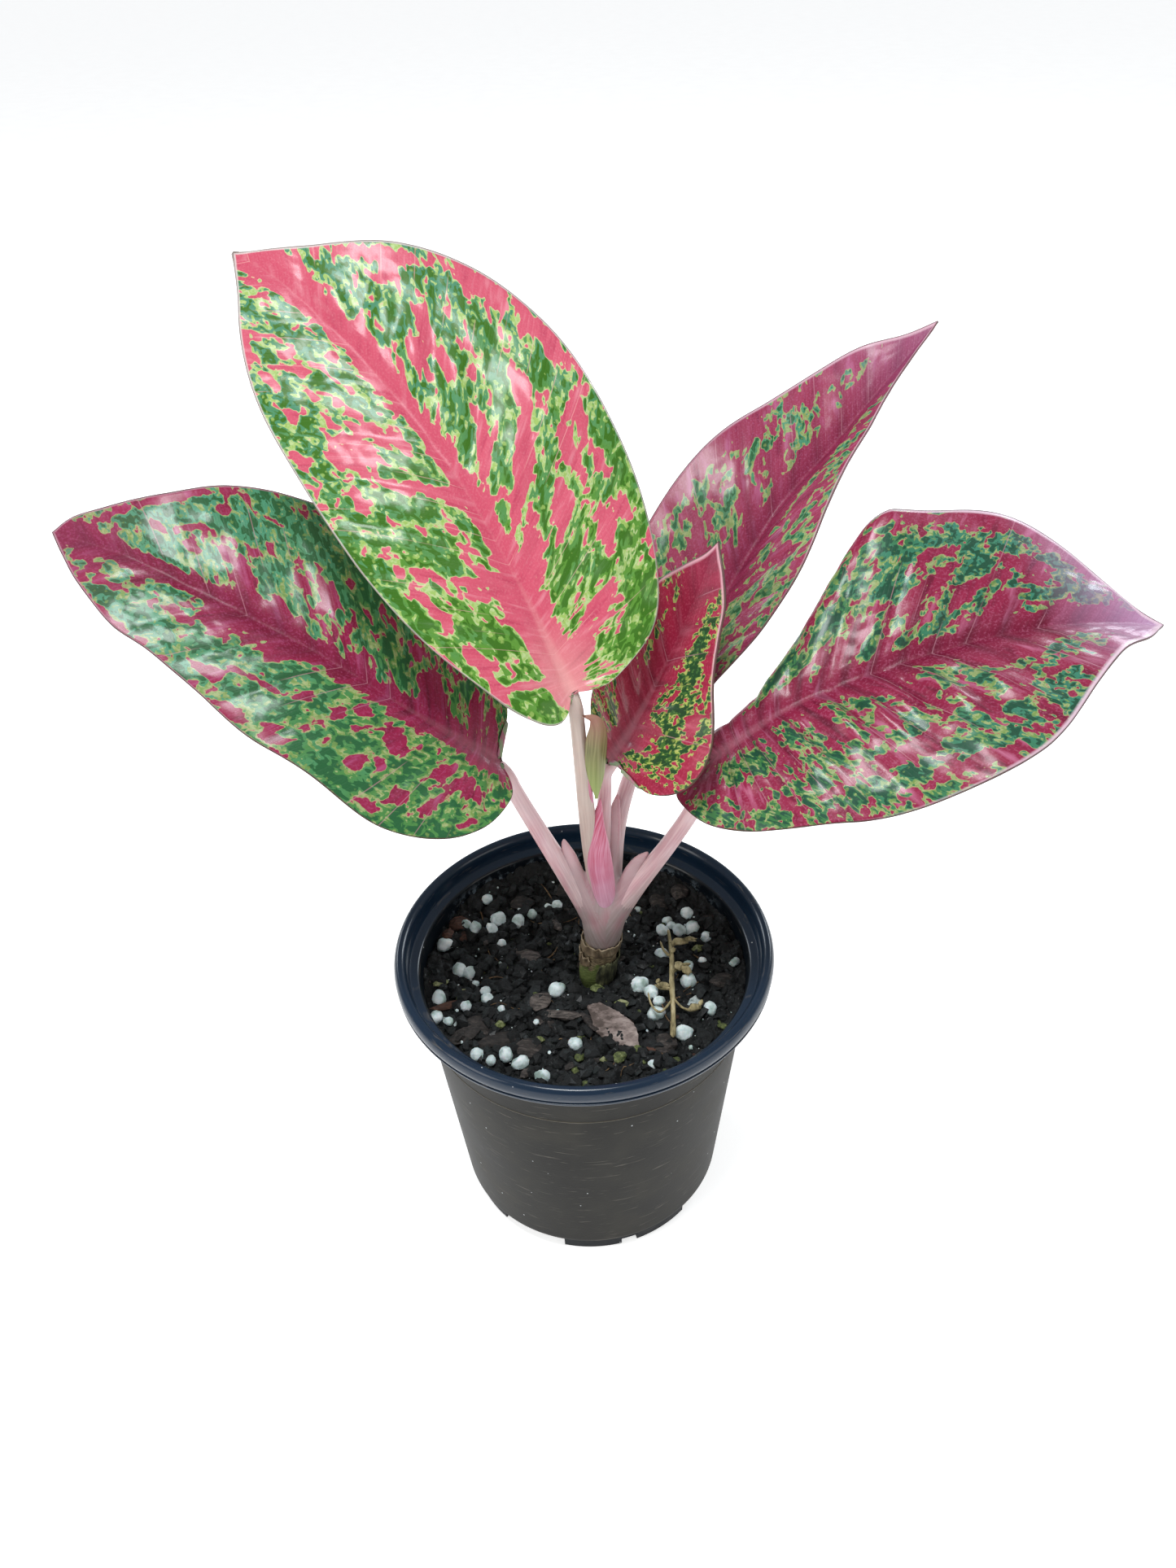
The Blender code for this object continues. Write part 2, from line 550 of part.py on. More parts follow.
def build_soil(parts, cutters):
    """The soil with its beads and chips, hollowed where the cane, the flake and the twig lie."""
    draw = random.Random(SOIL_SEED)
    pieces = [soil_body(parts)]
    for number, place in enumerate(soil_beads(draw)):
        mesh = mesh_from("bead", lambda edit: bmesh.ops.create_icosphere(edit, subdivisions=1, radius=1))
        mesh.transform(place)
        pieces.append(add(f"bead_{number}", mesh, parts))
    for number, chip in enumerate(CHIPS):
        mesh = mesh_from("chip", lambda edit: bmesh.ops.create_cube(edit, size=1))
        mesh.transform(chip_place(*chip))
        pieces.append(add(f"chip_{number}", mesh, parts))
    soil = united("soil", pieces, parts, material("potting soil", (0.018, 0.013, 0.01), 0.95))
    cut(soil, tube("cane_hole", [(*spot, CANE_HOLE_RADIUS) for spot in cane_hole_line()], cutters))
    cut(soil, flake("flake_bed", cutters, GAP))
    for number, twig in enumerate(TWIGS):
        cut(soil, tube(f"twig_bed_{number}", twig, cutters, swell=GAP))
    return soil


def cane_hole_line():
    """The middle of the plain hole that the cane stands in, from under its foot to above the soil."""
    (x, y, low, _), (x_top, y_top, high, _) = CANE[0], CANE[2]
    return (x, y, low - GAP), (x_top, y_top, high + CANE_HOLE_RISE)


def flake(name, collection, swell=0.0):
    """The large bark flake: a flat outline with thickness, tilted where it lies; swell makes it larger."""
    curve = bpy.data.curves.new(name, "CURVE")
    curve.dimensions = "2D"
    curve.fill_mode = "BOTH"
    curve.extrude = (FLAKE_THICKNESS / 2 + swell) * MM
    spline = curve.splines.new("POLY")
    spline.points.add(len(FLAKE_OUTLINE) - 1)
    spline.use_cyclic_u = True
    for place, corner in zip(spline.points, FLAKE_OUTLINE):
        grown = 1 + BED_STRETCH * swell / math.hypot(*corner)
        place.co = (corner[0] * grown * MM, corner[1] * grown * MM, 0, 1)
    made = add(name, curve, collection)
    turn = Euler([math.radians(angle) for angle in FLAKE_TILT]).to_matrix().to_4x4()
    made.matrix_world = Matrix.Translation(Vector(FLAKE_PLACE) * MM) @ turn
    return settled(made)


def build_litter(parts):
    """The bark flake and the dry twig that lie on the soil."""
    bark = flake("bark_flake", parts)
    bark.data.materials.append(material("bark", (0.13, 0.09, 0.07), 0.8))
    twigs = [tube(f"twig_{number}", twig, parts) for number, twig in enumerate(TWIGS)]
    united("dry_twig", twigs, parts, material("dry stem", (0.5, 0.42, 0.25), 0.85))


def build_cane(parts):
    """The old stem that the crown grows from."""
    return tube("cane", CANE, parts, material("cane", (0.13, 0.1, 0.06), 0.7), spacing=3.0)


def rib_line(leaf):
    """The stalk's path as it runs on under the midrib, as (x, y, z, radius)."""
    length = Track(leaf.midrib).length
    share = np.linspace(RIB_START, RIB_REACH, RIB_POINTS)
    point, _, up, _ = midrib_frame(leaf, share * length)
    radius = RIB_END_RADIUS + (leaf.rib_radius - RIB_END_RADIUS) * (1 - share / RIB_REACH)
    steepest = np.maximum(by_thirds(leaf.left_fold, share), by_thirds(leaf.right_fold, share))
    depth = (radius + BLADE_THICKNESS / 2 + RIB_CLEARANCE) / np.cos(np.radians(steepest))
    low = point - up * depth[:, None]
    return [(*spot, size) for spot, size in zip(low, radius)]


def build_stalks(parts):
    """The pink crown with its central spear, and each leaf's stalk, sheath and rib, grown as one."""
    finish = material("pink stalk", (0.72, 0.42, 0.42), 0.4)
    pieces = [tube("crown", CROWN, parts, spacing=3.0), tube("spear", SPEAR, parts)]
    for name, leaf in LEAVES.items():
        pieces.append(tube(f"stalk_{name}", list(leaf.stalk) + rib_line(leaf), parts))
        if leaf.sheath:
            pieces.append(tube(f"sheath_{name}", leaf.sheath, parts))
    return united("leaf_stalks", pieces, parts, finish)


def build_blade(name, leaf, parts, finish, rows=BLADE_ROWS, half_columns=BLADE_HALF_COLUMNS):
    """A blade: a thin sheet whose rows follow the side veins from the midrib to the margin."""

    def sculpt(edit):
        bmesh.ops.create_grid(edit, x_segments=rows, y_segments=2 * half_columns, size=1)
        flat = np.array([vertex.co for vertex in edit.verts])
        along, across = flat_places(leaf, (flat[:, 0] + 1) / 2, flat[:, 1])
        for vertex, place in zip(edit.verts, on_blade(leaf, along, across)):
            vertex.co = place * MM
        bmesh.ops.remove_doubles(edit, verts=edit.verts, dist=0.00002)
        bmesh.ops.triangulate(edit, faces=edit.faces)

    blade = add(name, mesh_from(name, sculpt), parts, finish)
    sheet = blade.modifiers.new("thickness", "SOLIDIFY")
    sheet.thickness = BLADE_THICKNESS * MM
    sheet.offset = 0
    return blade


def build_blades(parts):
    """The five mottled blades and the green hood."""
    coral = material("coral and green leaf", (0.62, 0.12, 0.16), 0.3)
    crimson = material("crimson and green leaf", (0.4, 0.04, 0.1), 0.3)
    for name, leaf in LEAVES.items():
        build_blade(f"blade_{name}", leaf, parts, coral if name == "top" else crimson)
    green = material("green hood", (0.35, 0.42, 0.15), 0.45)
    build_blade("hood", HOOD, parts, green, HOOD_ROWS, HOOD_HALF_COLUMNS)


def collection_named(name):
    """A new collection in the scene."""
    made = bpy.data.collections.new(name)
    bpy.context.scene.collection.children.link(made)
    return made


def main():
    for old in list(bpy.data.objects):
        bpy.data.objects.remove(old)
    parts = collection_named(OBJECT_NAME)
    cutters = collection_named("cutters")
    cutters.hide_render = True
    build_pot(parts, cutters)
    build_soil(parts, cutters)
    build_litter(parts)
    build_cane(parts)
    build_stalks(parts)
    build_blades(parts)


main()
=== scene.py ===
"""Dresses the potted red stardust aglaonema: mottled leaves, pink stalks, gritty soil, nursery pot.

Lengths in the tables are in millimetres, angles in degrees. The frame is in metres, with +Z up.
"""

import math
import random
from dataclasses import dataclass
from functools import partial

import bpy
import numpy as np
from mathutils import Euler, Matrix, Vector, noise


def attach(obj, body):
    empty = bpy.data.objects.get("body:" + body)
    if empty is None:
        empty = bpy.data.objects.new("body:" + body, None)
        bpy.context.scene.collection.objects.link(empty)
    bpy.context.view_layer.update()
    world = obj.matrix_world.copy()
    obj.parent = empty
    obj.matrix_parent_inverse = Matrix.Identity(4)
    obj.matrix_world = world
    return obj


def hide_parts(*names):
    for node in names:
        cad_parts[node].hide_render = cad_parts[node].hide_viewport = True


bl_info = {
    "name": "Potted red stardust aglaonema",
    "version": (1, 0, 0),
    "blender": (4, 5, 0),
    "location": "3D View > Sidebar > Plant",
    "description": "Builds a young aglaonema with mottled leaves in a nursery pot",
    "category": "Object",
}

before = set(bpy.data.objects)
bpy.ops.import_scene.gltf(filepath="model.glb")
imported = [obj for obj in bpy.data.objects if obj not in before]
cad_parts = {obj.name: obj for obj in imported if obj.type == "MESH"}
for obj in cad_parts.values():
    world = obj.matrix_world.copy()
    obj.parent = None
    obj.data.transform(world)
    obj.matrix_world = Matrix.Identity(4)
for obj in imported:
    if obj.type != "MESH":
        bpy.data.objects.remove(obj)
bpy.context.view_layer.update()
MM = 0.001

# Camera, from the photograph's view
EYE = (0.0029, -0.2437, 0.3333)
LOOK_DOWN = 37.0
LEAN = -2.0
PHOTO_HEIGHT = 1927
FOCAL_PIXELS = 1447
SENSOR = 36.0

# Pot: the wall's radius at its top and foot, the level of the step at the foot, the rim's height
WALL_TOP_RADIUS = 48.2
WALL_FOOT_RADIUS = 40.8
STEP_LEVEL = 5.5
RIM_HEIGHT = 6.0
PARTING_LEVEL = 71.5
POT_LEAN = 0.0925
POT_SIDES = 160
# Bands in metres over which a finish changes: up the rim, out through the wall, up the tidemark,
# back towards the far wall, and up the cane where its moss thins out
RIM_BAND = (0.0862, 0.0878)
INNER_BAND = (0.0398, 0.04)
TIDE_BAND = (0.0835, 0.087)
FAR_BAND = (0.02, 0.034)
MOSS_BAND = (0.082, 0.0905)
# Drain notches in each quarter of the foot, as (turn, width, height), and where they are cut
NOTCHES = ((-119.0, 21.0, 4.7), (-74.0, 5.0, 2.8))
NOTCH_RADIUS = 40.3
NOTCH_DEPTH = 12

# Soil
SOIL_LEVEL = 80.5
SOIL_BUMP = 1.6
SOIL_BUMP_LENGTH = 11.0
SOIL_SEED = 7
SOIL_RADIUS = 47.1
SOIL_FOOT = 2.35
SOIL_CUTS = 190
# The root ball below its top, as (drop, scale)
ROOT_BALL = ((-1.5, 1.0), (-70.0, 0.862), (-5.0, 0.95))
CLOD_LENGTH = 5.0
CLOD_HEIGHT = 1.9
PIT_LENGTH = 4.5
PIT_DEPTH = 2.6
BANK_RADIUS = 36.0
HOLLOW_DEPTH = 2.2
HOLLOW_SPREAD = 70.0
# Strewn bits are drawn from a square and kept off the wall and the cane
STREWN_HALF = 45
STREWN_RADIUS = 45.8
CANE_X = 4
WALL_GAP = 0.6
BEAD_SUNK = 0.18
GRIT = 150
FIBRES = 46

# Perlite beads, as (x, y, radius)
BEADS = (
    (-8, -8, 2.5), (-42, 12, 2.4), (-37, 2, 2.5), (-34, 1, 2.1), (-42, -9, 2.6), (-34, -14, 1.7),
    (-29, -7, 1.6), (-28, -10, 2.0), (-42, -18, 2.1), (-30, -31, 2.0), (-26, -33, 1.6),
    (-22, -32, 2.2), (-18, -34, 2.3), (-12, -39, 2.1), (-3, -28, 2.2), (27, -25, 2.6),
    (35, -18, 2.3), (16, -6, 2.7), (19, -10, 2.2), (20, -17, 2.5), (21, -13, 1.7), (23, 4, 2.3),
    (30, 0, 2.0), (30, -6, 2.4), (26, 21, 1.8), (32, 21, 2.2), (29, 15, 2.2), (33, 16, 2.5),
    (37, 11, 1.8), (24, 15, 2.1), (27, 17, 1.6), (44, 0, 1.7), (-16, 24, 1.7), (-20, 21, 2.2),
    (-26, 21, 2.3), (-28, 17, 2.0), (-33, 18, 2.2), (-36, 20, 1.8), (-30, 30, 2.0), (-25, 12, 1.5),
    (-8, 27, 1.7), (17, 26, 1.4), (18, -36, 1.5), (-25, 4, 1.1), (-11, 27, 1.3), (-32, -3, 1.2),
    (-38, -21, 1.3), (-24, -14, 1.2), (26, 8, 1.2), (-14, -19, 0.9), (35, 3, 1.3),
)
# Bark chips in the soil, as (x, y, length, width, turn, shade)
CHIPS = (
    (-13, -12, 8, 6, 60, 0.3), (-7, -18, 10, 3.6, 165, 0.24), (-30, -20, 11, 8, 30, -0.1),
    (-16, -29, 8, 6, 10, 0.02), (-17, 8, 10, 7, 130, 0.26), (-2, 36, 12, 8, 15, -0.1),
    (25, 30, 10, 6, 50, 0.0), (-38, -27, 10, 5, 40, -0.1), (40, -6, 8, 5, 20, -0.05),
    (22, -28.5, 6, 5.5, 20, 0.0), (-9, 20, 9, 3, 120, 0.2), (-19, 30, 8, 6, 20, -0.1),
    (31, 31, 7, 6, 70, 0.1), (1, -21, 9, 3, 120, -0.05), (-24, -25, 12, 5, 20, -0.15),
    (38, 20, 6, 4, 60, 0.05),
)
# Rust-coloured bits of bark, likewise
RUSTY = (
    (-41, -13, 13, 2.6, 20, 0.1), (17.5, -29, 6, 2.8, 105, 0.2), (-40, 22, 7, 6, 40, 0.1),
    (-36, 16, 5, 4, 10, 0.0), (12, 23, 9, 2.6, 10, -0.1), (-43, 16, 5, 3, 80, 0.1),
)
# Pale and mossy bits, likewise
MOSSY = (
    (9, -13, 7, 3.4, 160, 0.34), (3.6, -7, 4.4, 3, 0, 0.0), (9, -34, 4, 2.8, 40, 0.0),
    (-2, -33, 3.6, 2.4, 80, 0.0), (-3, -37, 2.6, 2, 0, 0.0), (-2, -25, 4, 3, 30, 0.05),
    (-42, -4, 4.6, 3.6, 20, 0.3), (-35, -7, 3.4, 2.6, 0, 0.3), (-24, -20, 3, 2.4, 0, 0.1),
    (-20, -10, 5, 2.6, 150, 0.25), (-22, 27, 4, 3, 0, 0.1), (34, 8, 4, 2.4, 30, 0.25),
    (-22, -15, 6, 2.2, 150, 0.4), (6, -33, 6, 2, 10, 0.3), (-13, -25, 3, 2, 0, 0.2),
    (14, -30, 2.6, 2, 0, 0.0), (38, -24, 3, 2, 0, -0.05), (20, 2, 3, 2.4, 0, -0.1),
)
# Silvery curled leaf scraps, likewise
SILVERY = ((31, -15, 8, 3.6, 70, 0.2), (-38, -20, 5, 3, 140, 0.1))

# What else lies on the soil, as (piece, stuff, listed bits, how many more, their largest length)
BITS = (
    ("bark_chips", "composted bark", CHIPS, 60, 5.0),
    ("rusty_chips", "rusty bark", RUSTY, 14, 4.0),
    ("mossy_bits", "mossy grit", MOSSY, 40, 2.6),
    ("silvery_scraps", "bleached leaf scrap", SILVERY, 5, 2.6),
)

# Stuffs, as (dark, middle, pale, grain in mm, roughness, stretch, bump in mm, wetness)
STUFFS = {
    # Damp sphagnum peat is near black, crumbly, with a faint wet glint
    "damp peat": ("#020404", "#090d0e", "#242c2c", 1.3, 0.8, (1, 1, 1), 1.2, 0.08),
    # Composted pine bark is dark brown and matt, and splits along its grain
    "composted bark": ("#15120f", "#2f2926", "#6d645e", 1.4, 0.75, (1.6, 0.6, 1), 0.5, 0.0),
    # Fresher bark keeps its rust colour
    "rusty bark": ("#20130e", "#41281d", "#6b4634", 1.6, 0.75, (1.6, 0.6, 1), 0.5, 0.0),
    # Grit with algae on it is olive, with pale bare spots
    "mossy grit": ("#2a3318", "#566030", "#a2a27c", 1.0, 0.7, (1, 1, 1), 0.5, 0.0),
    # A leaf scrap bleached by water is silvery grey
    "bleached leaf scrap": ("#4d5454", "#9aa6a4", "#d5dcda", 1.5, 0.6, (1, 1, 1), 0.5, 0.0),
    # Peat fibres are straw brown
    "peat fibre": ("#3a2b1e", "#6d563c", "#a08a62", 2.0, 0.85, (1, 1, 1), 0.2, 0.0),
    # Weathered bark is grey brown, rough and dry
    "weathered bark": ("#4d423d", "#857772", "#b8aca5", 2.4, 0.8, (1.6, 0.7, 1), 0.5, 0.0),
    # A dry flower stem is straw coloured, with fibres along its length
    "dry stem": ("#5c5438", "#978b66", "#cdc4a2", 1.6, 0.8, (1, 3, 1), 0.3, 0.0),
    # A dead sheath is papery and brown, with upright veins
    "papery sheath remnant": ("#3a2f22", "#6a5a44", "#a3937a", 2.0, 0.7, (1, 1, 3), 0.2, 0.0),
    # A sheath that is not quite dead keeps a dull green
    "green sheath remnant": ("#1d1e15", "#393b28", "#73734f", 1.6, 0.7, (1, 1, 3), 0.3, 0.0),
}

# Cane and crown, as (x, y, z, half width, half depth)
CANE = (
    (3.6, 0, 70, 4.6, 4.6), (3.3, 0, 78, 4.9, 4.7), (3.5, 0, 82, 5.2, 5.0),
    (4.0, 0, 85.5, 5.3, 5.1), (4.5, 0, 89, 5.1, 5.0), (5.0, 0, 92, 5.2, 5.0),
    (5.3, 0, 94.5, 4.9, 4.7),
)
CROWN = (
    (5.4, 0, 92.4, 4.7, 4.5), (5.6, 0, 95.5, 5.3, 5.0), (5.8, 0, 99.4, 5.9, 5.2),
    (6.1, 0, 102.6, 6.2, 4.9), (7.0, 0.4, 106.9, 5.6, 4.3), (7.1, 1.0, 111, 4.4, 3.7),
    (6.9, 1.8, 116, 3.3, 3.0), (6.9, 2.2, 121, 2.2, 2.2),
)
SPEAR = (
    (7.2, -0.2, 103, 2.4, 2.4), (6.5, -0.8, 110, 3.1, 2.7), (5.9, -1.2, 117.5, 3.4, 2.8),
    (5.3, -1.3, 123.5, 3.5, 2.7), (5.0, -1.3, 129.5, 3.1, 2.4), (4.9, -1.2, 134, 2.4, 1.9),
    (5.1, -1, 138, 1.7, 1.4), (5.6, -0.8, 142, 0.9, 0.8), (6.0, -0.6, 145.4, 0.15, 0.15),
)
# Free sheath edges beside the stalks, as (x, y, z, half width, half depth)
SHEATHS = {
    "left": ((5.4, -2.6, 101, 3.6, 2.2), (3.0, -1.6, 108, 2.9, 2.3), (0.4, -0.8, 114.8, 2.2, 1.9),
             (-1.4, -0.4, 120.7, 2.1, 1.5), (-2.9, 0.0, 125.7, 1.9, 1.1),
             (-3.9, 0.1, 129.5, 1.1, 0.7), (-4.2, 0.2, 132, 0.15, 0.15)),
    "right": ((8.6, -0.6, 104, 2.4, 2.2), (10.8, -0.4, 110.8, 2.1, 1.9),
              (12.6, -0.2, 115.2, 2.3, 1.7), (14.5, 0.0, 119.3, 2.5, 1.4),
              (16.3, 0.1, 122.8, 2.0, 0.9), (18.0, 0.2, 125.0, 0.9, 0.5),
              (19.2, 0.2, 126.0, 0.15, 0.15)),
    "back": ((8.9, 2.5, 114, 2.2, 2.0), (9.3, 4, 122, 2.0, 1.7), (9.6, 5.5, 130, 1.8, 1.3),
             (10.1, 7, 135.6, 1.5, 0.9), (10.6, 7.8, 138.6, 0.8, 0.5),
             (10.9, 8.2, 140.4, 0.15, 0.15)),
    "top": ((3.0, -1.2, 130, 0.9, 0.9), (2.5, -1.3, 140.7, 1.5, 1.2), (2.5, -1.8, 144.3, 1.6, 1.1),
            (2.6, -2.3, 148, 1.5, 1.0), (2.5, -2.8, 152.3, 1.2, 0.7), (2.3, -3.1, 156.6, 0.7, 0.45),
            (2.2, -3.3, 160, 0.12, 0.12)),
}
# How far the stalks are fused into the crown, by the length of each stalk
FUSED = {"top": 26.0, "left": 24.0, "right": 22.0, "back": 22.0, "young": 16.0}
FUSED_SWELL = 0.15
FUSED_TAPER = 0.7
FUSED_VOXEL = 0.42
# Ragged papery bands round the cane, as (first angle, last angle, foot level, top level, stand-off)
HUSKS = ((-190, 170, 91.4, 94.8, 0.35), (-95, 25, 79.0, 88.5, 0.3), (-200, -120, 86.5, 90.5, 0.2))

# Studio lights, as (name, place, size, power, tint), all aimed at one point
LIGHTS = (
    ("sky_key", (-0.12, -0.2, 1.5), 0.4, 14.0, (0.95, 0.98, 1.0)),
    ("left_fill", (-1.3, -0.7, 0.8), 0.8, 8.0, (1.0, 0.98, 0.95)),
    ("right_fill", (1.3, -0.7, 0.8), 0.9, 4.5, (1.0, 0.98, 0.95)),
    ("left_rim_light", (-0.9, 1.0, 0.65), 0.35, 3.0, (0.85, 0.93, 1.0)),
    ("right_rim_light", (0.9, 1.0, 0.65), 0.35, 4.0, (0.85, 0.93, 1.0)),
)
LIGHTS_AIM = (0, 0, 0.15)

# Blade build
LEAF_KINDS = {
    "top": "coral", "left": "crimson", "right": "plum", "back": "mauve", "young": "tender",
}
BLADE_THICKNESS = 0.55
VEIN_LEAD = 2.0
SIDE_VEINS = 11
FACE_INSETS = (6.0, 10.0)
WAVE_WIDTH = 35.0
WAVE_SHIFT = 0.8
HANG_SOFTNESS = 4.0
RIB_POINTS = 14
RIB_REACH = 0.93
RIB_END_RADIUS = 0.35
# How far from the end rows of a blade its first and last vertices stay, so that no face is a sliver
ROW_INSET = 0.0003
# How many times larger the large islands are than the small ones
ISLAND_SIZES = 2.1


@dataclass
class Leaf:
    """One leaf. A triple holds values at base, middle and tip; across is negative on the left."""

    stalk: tuple
    midrib: tuple
    face_roll: tuple
    left_fold: tuple
    right_fold: tuple
    left_curl: tuple
    right_curl: tuple
    left_margin: tuple
    right_margin: tuple
    wave: tuple = (0.0, 1.0, 0.0)
    droop: tuple = ()
    rib_radius: float = 1.9
    facing: tuple = ()
    quilt: float = 0.5
    feather: tuple = (5.0, 2.8, 2.0)  # half width of the plain pink band along the midrib
    level: tuple = (0.0, 0.0)  # how green each half is where no patch says otherwise
    streaks: tuple = ((0.3, 0.1), (0.8, 0.2))  # the streaks' slope at base and tip, left and right
    fan: tuple = ((0.3, 0.0), (1.0, 0.0))  # how far islands follow the side veins, likewise
    red: tuple = ()  # patches without green, as (along, across, half length, half width, lean)
    green: tuple = ()  # patches of solid green, likewise
    puckers: tuple = ()  # raised or sunk places, likewise with a height


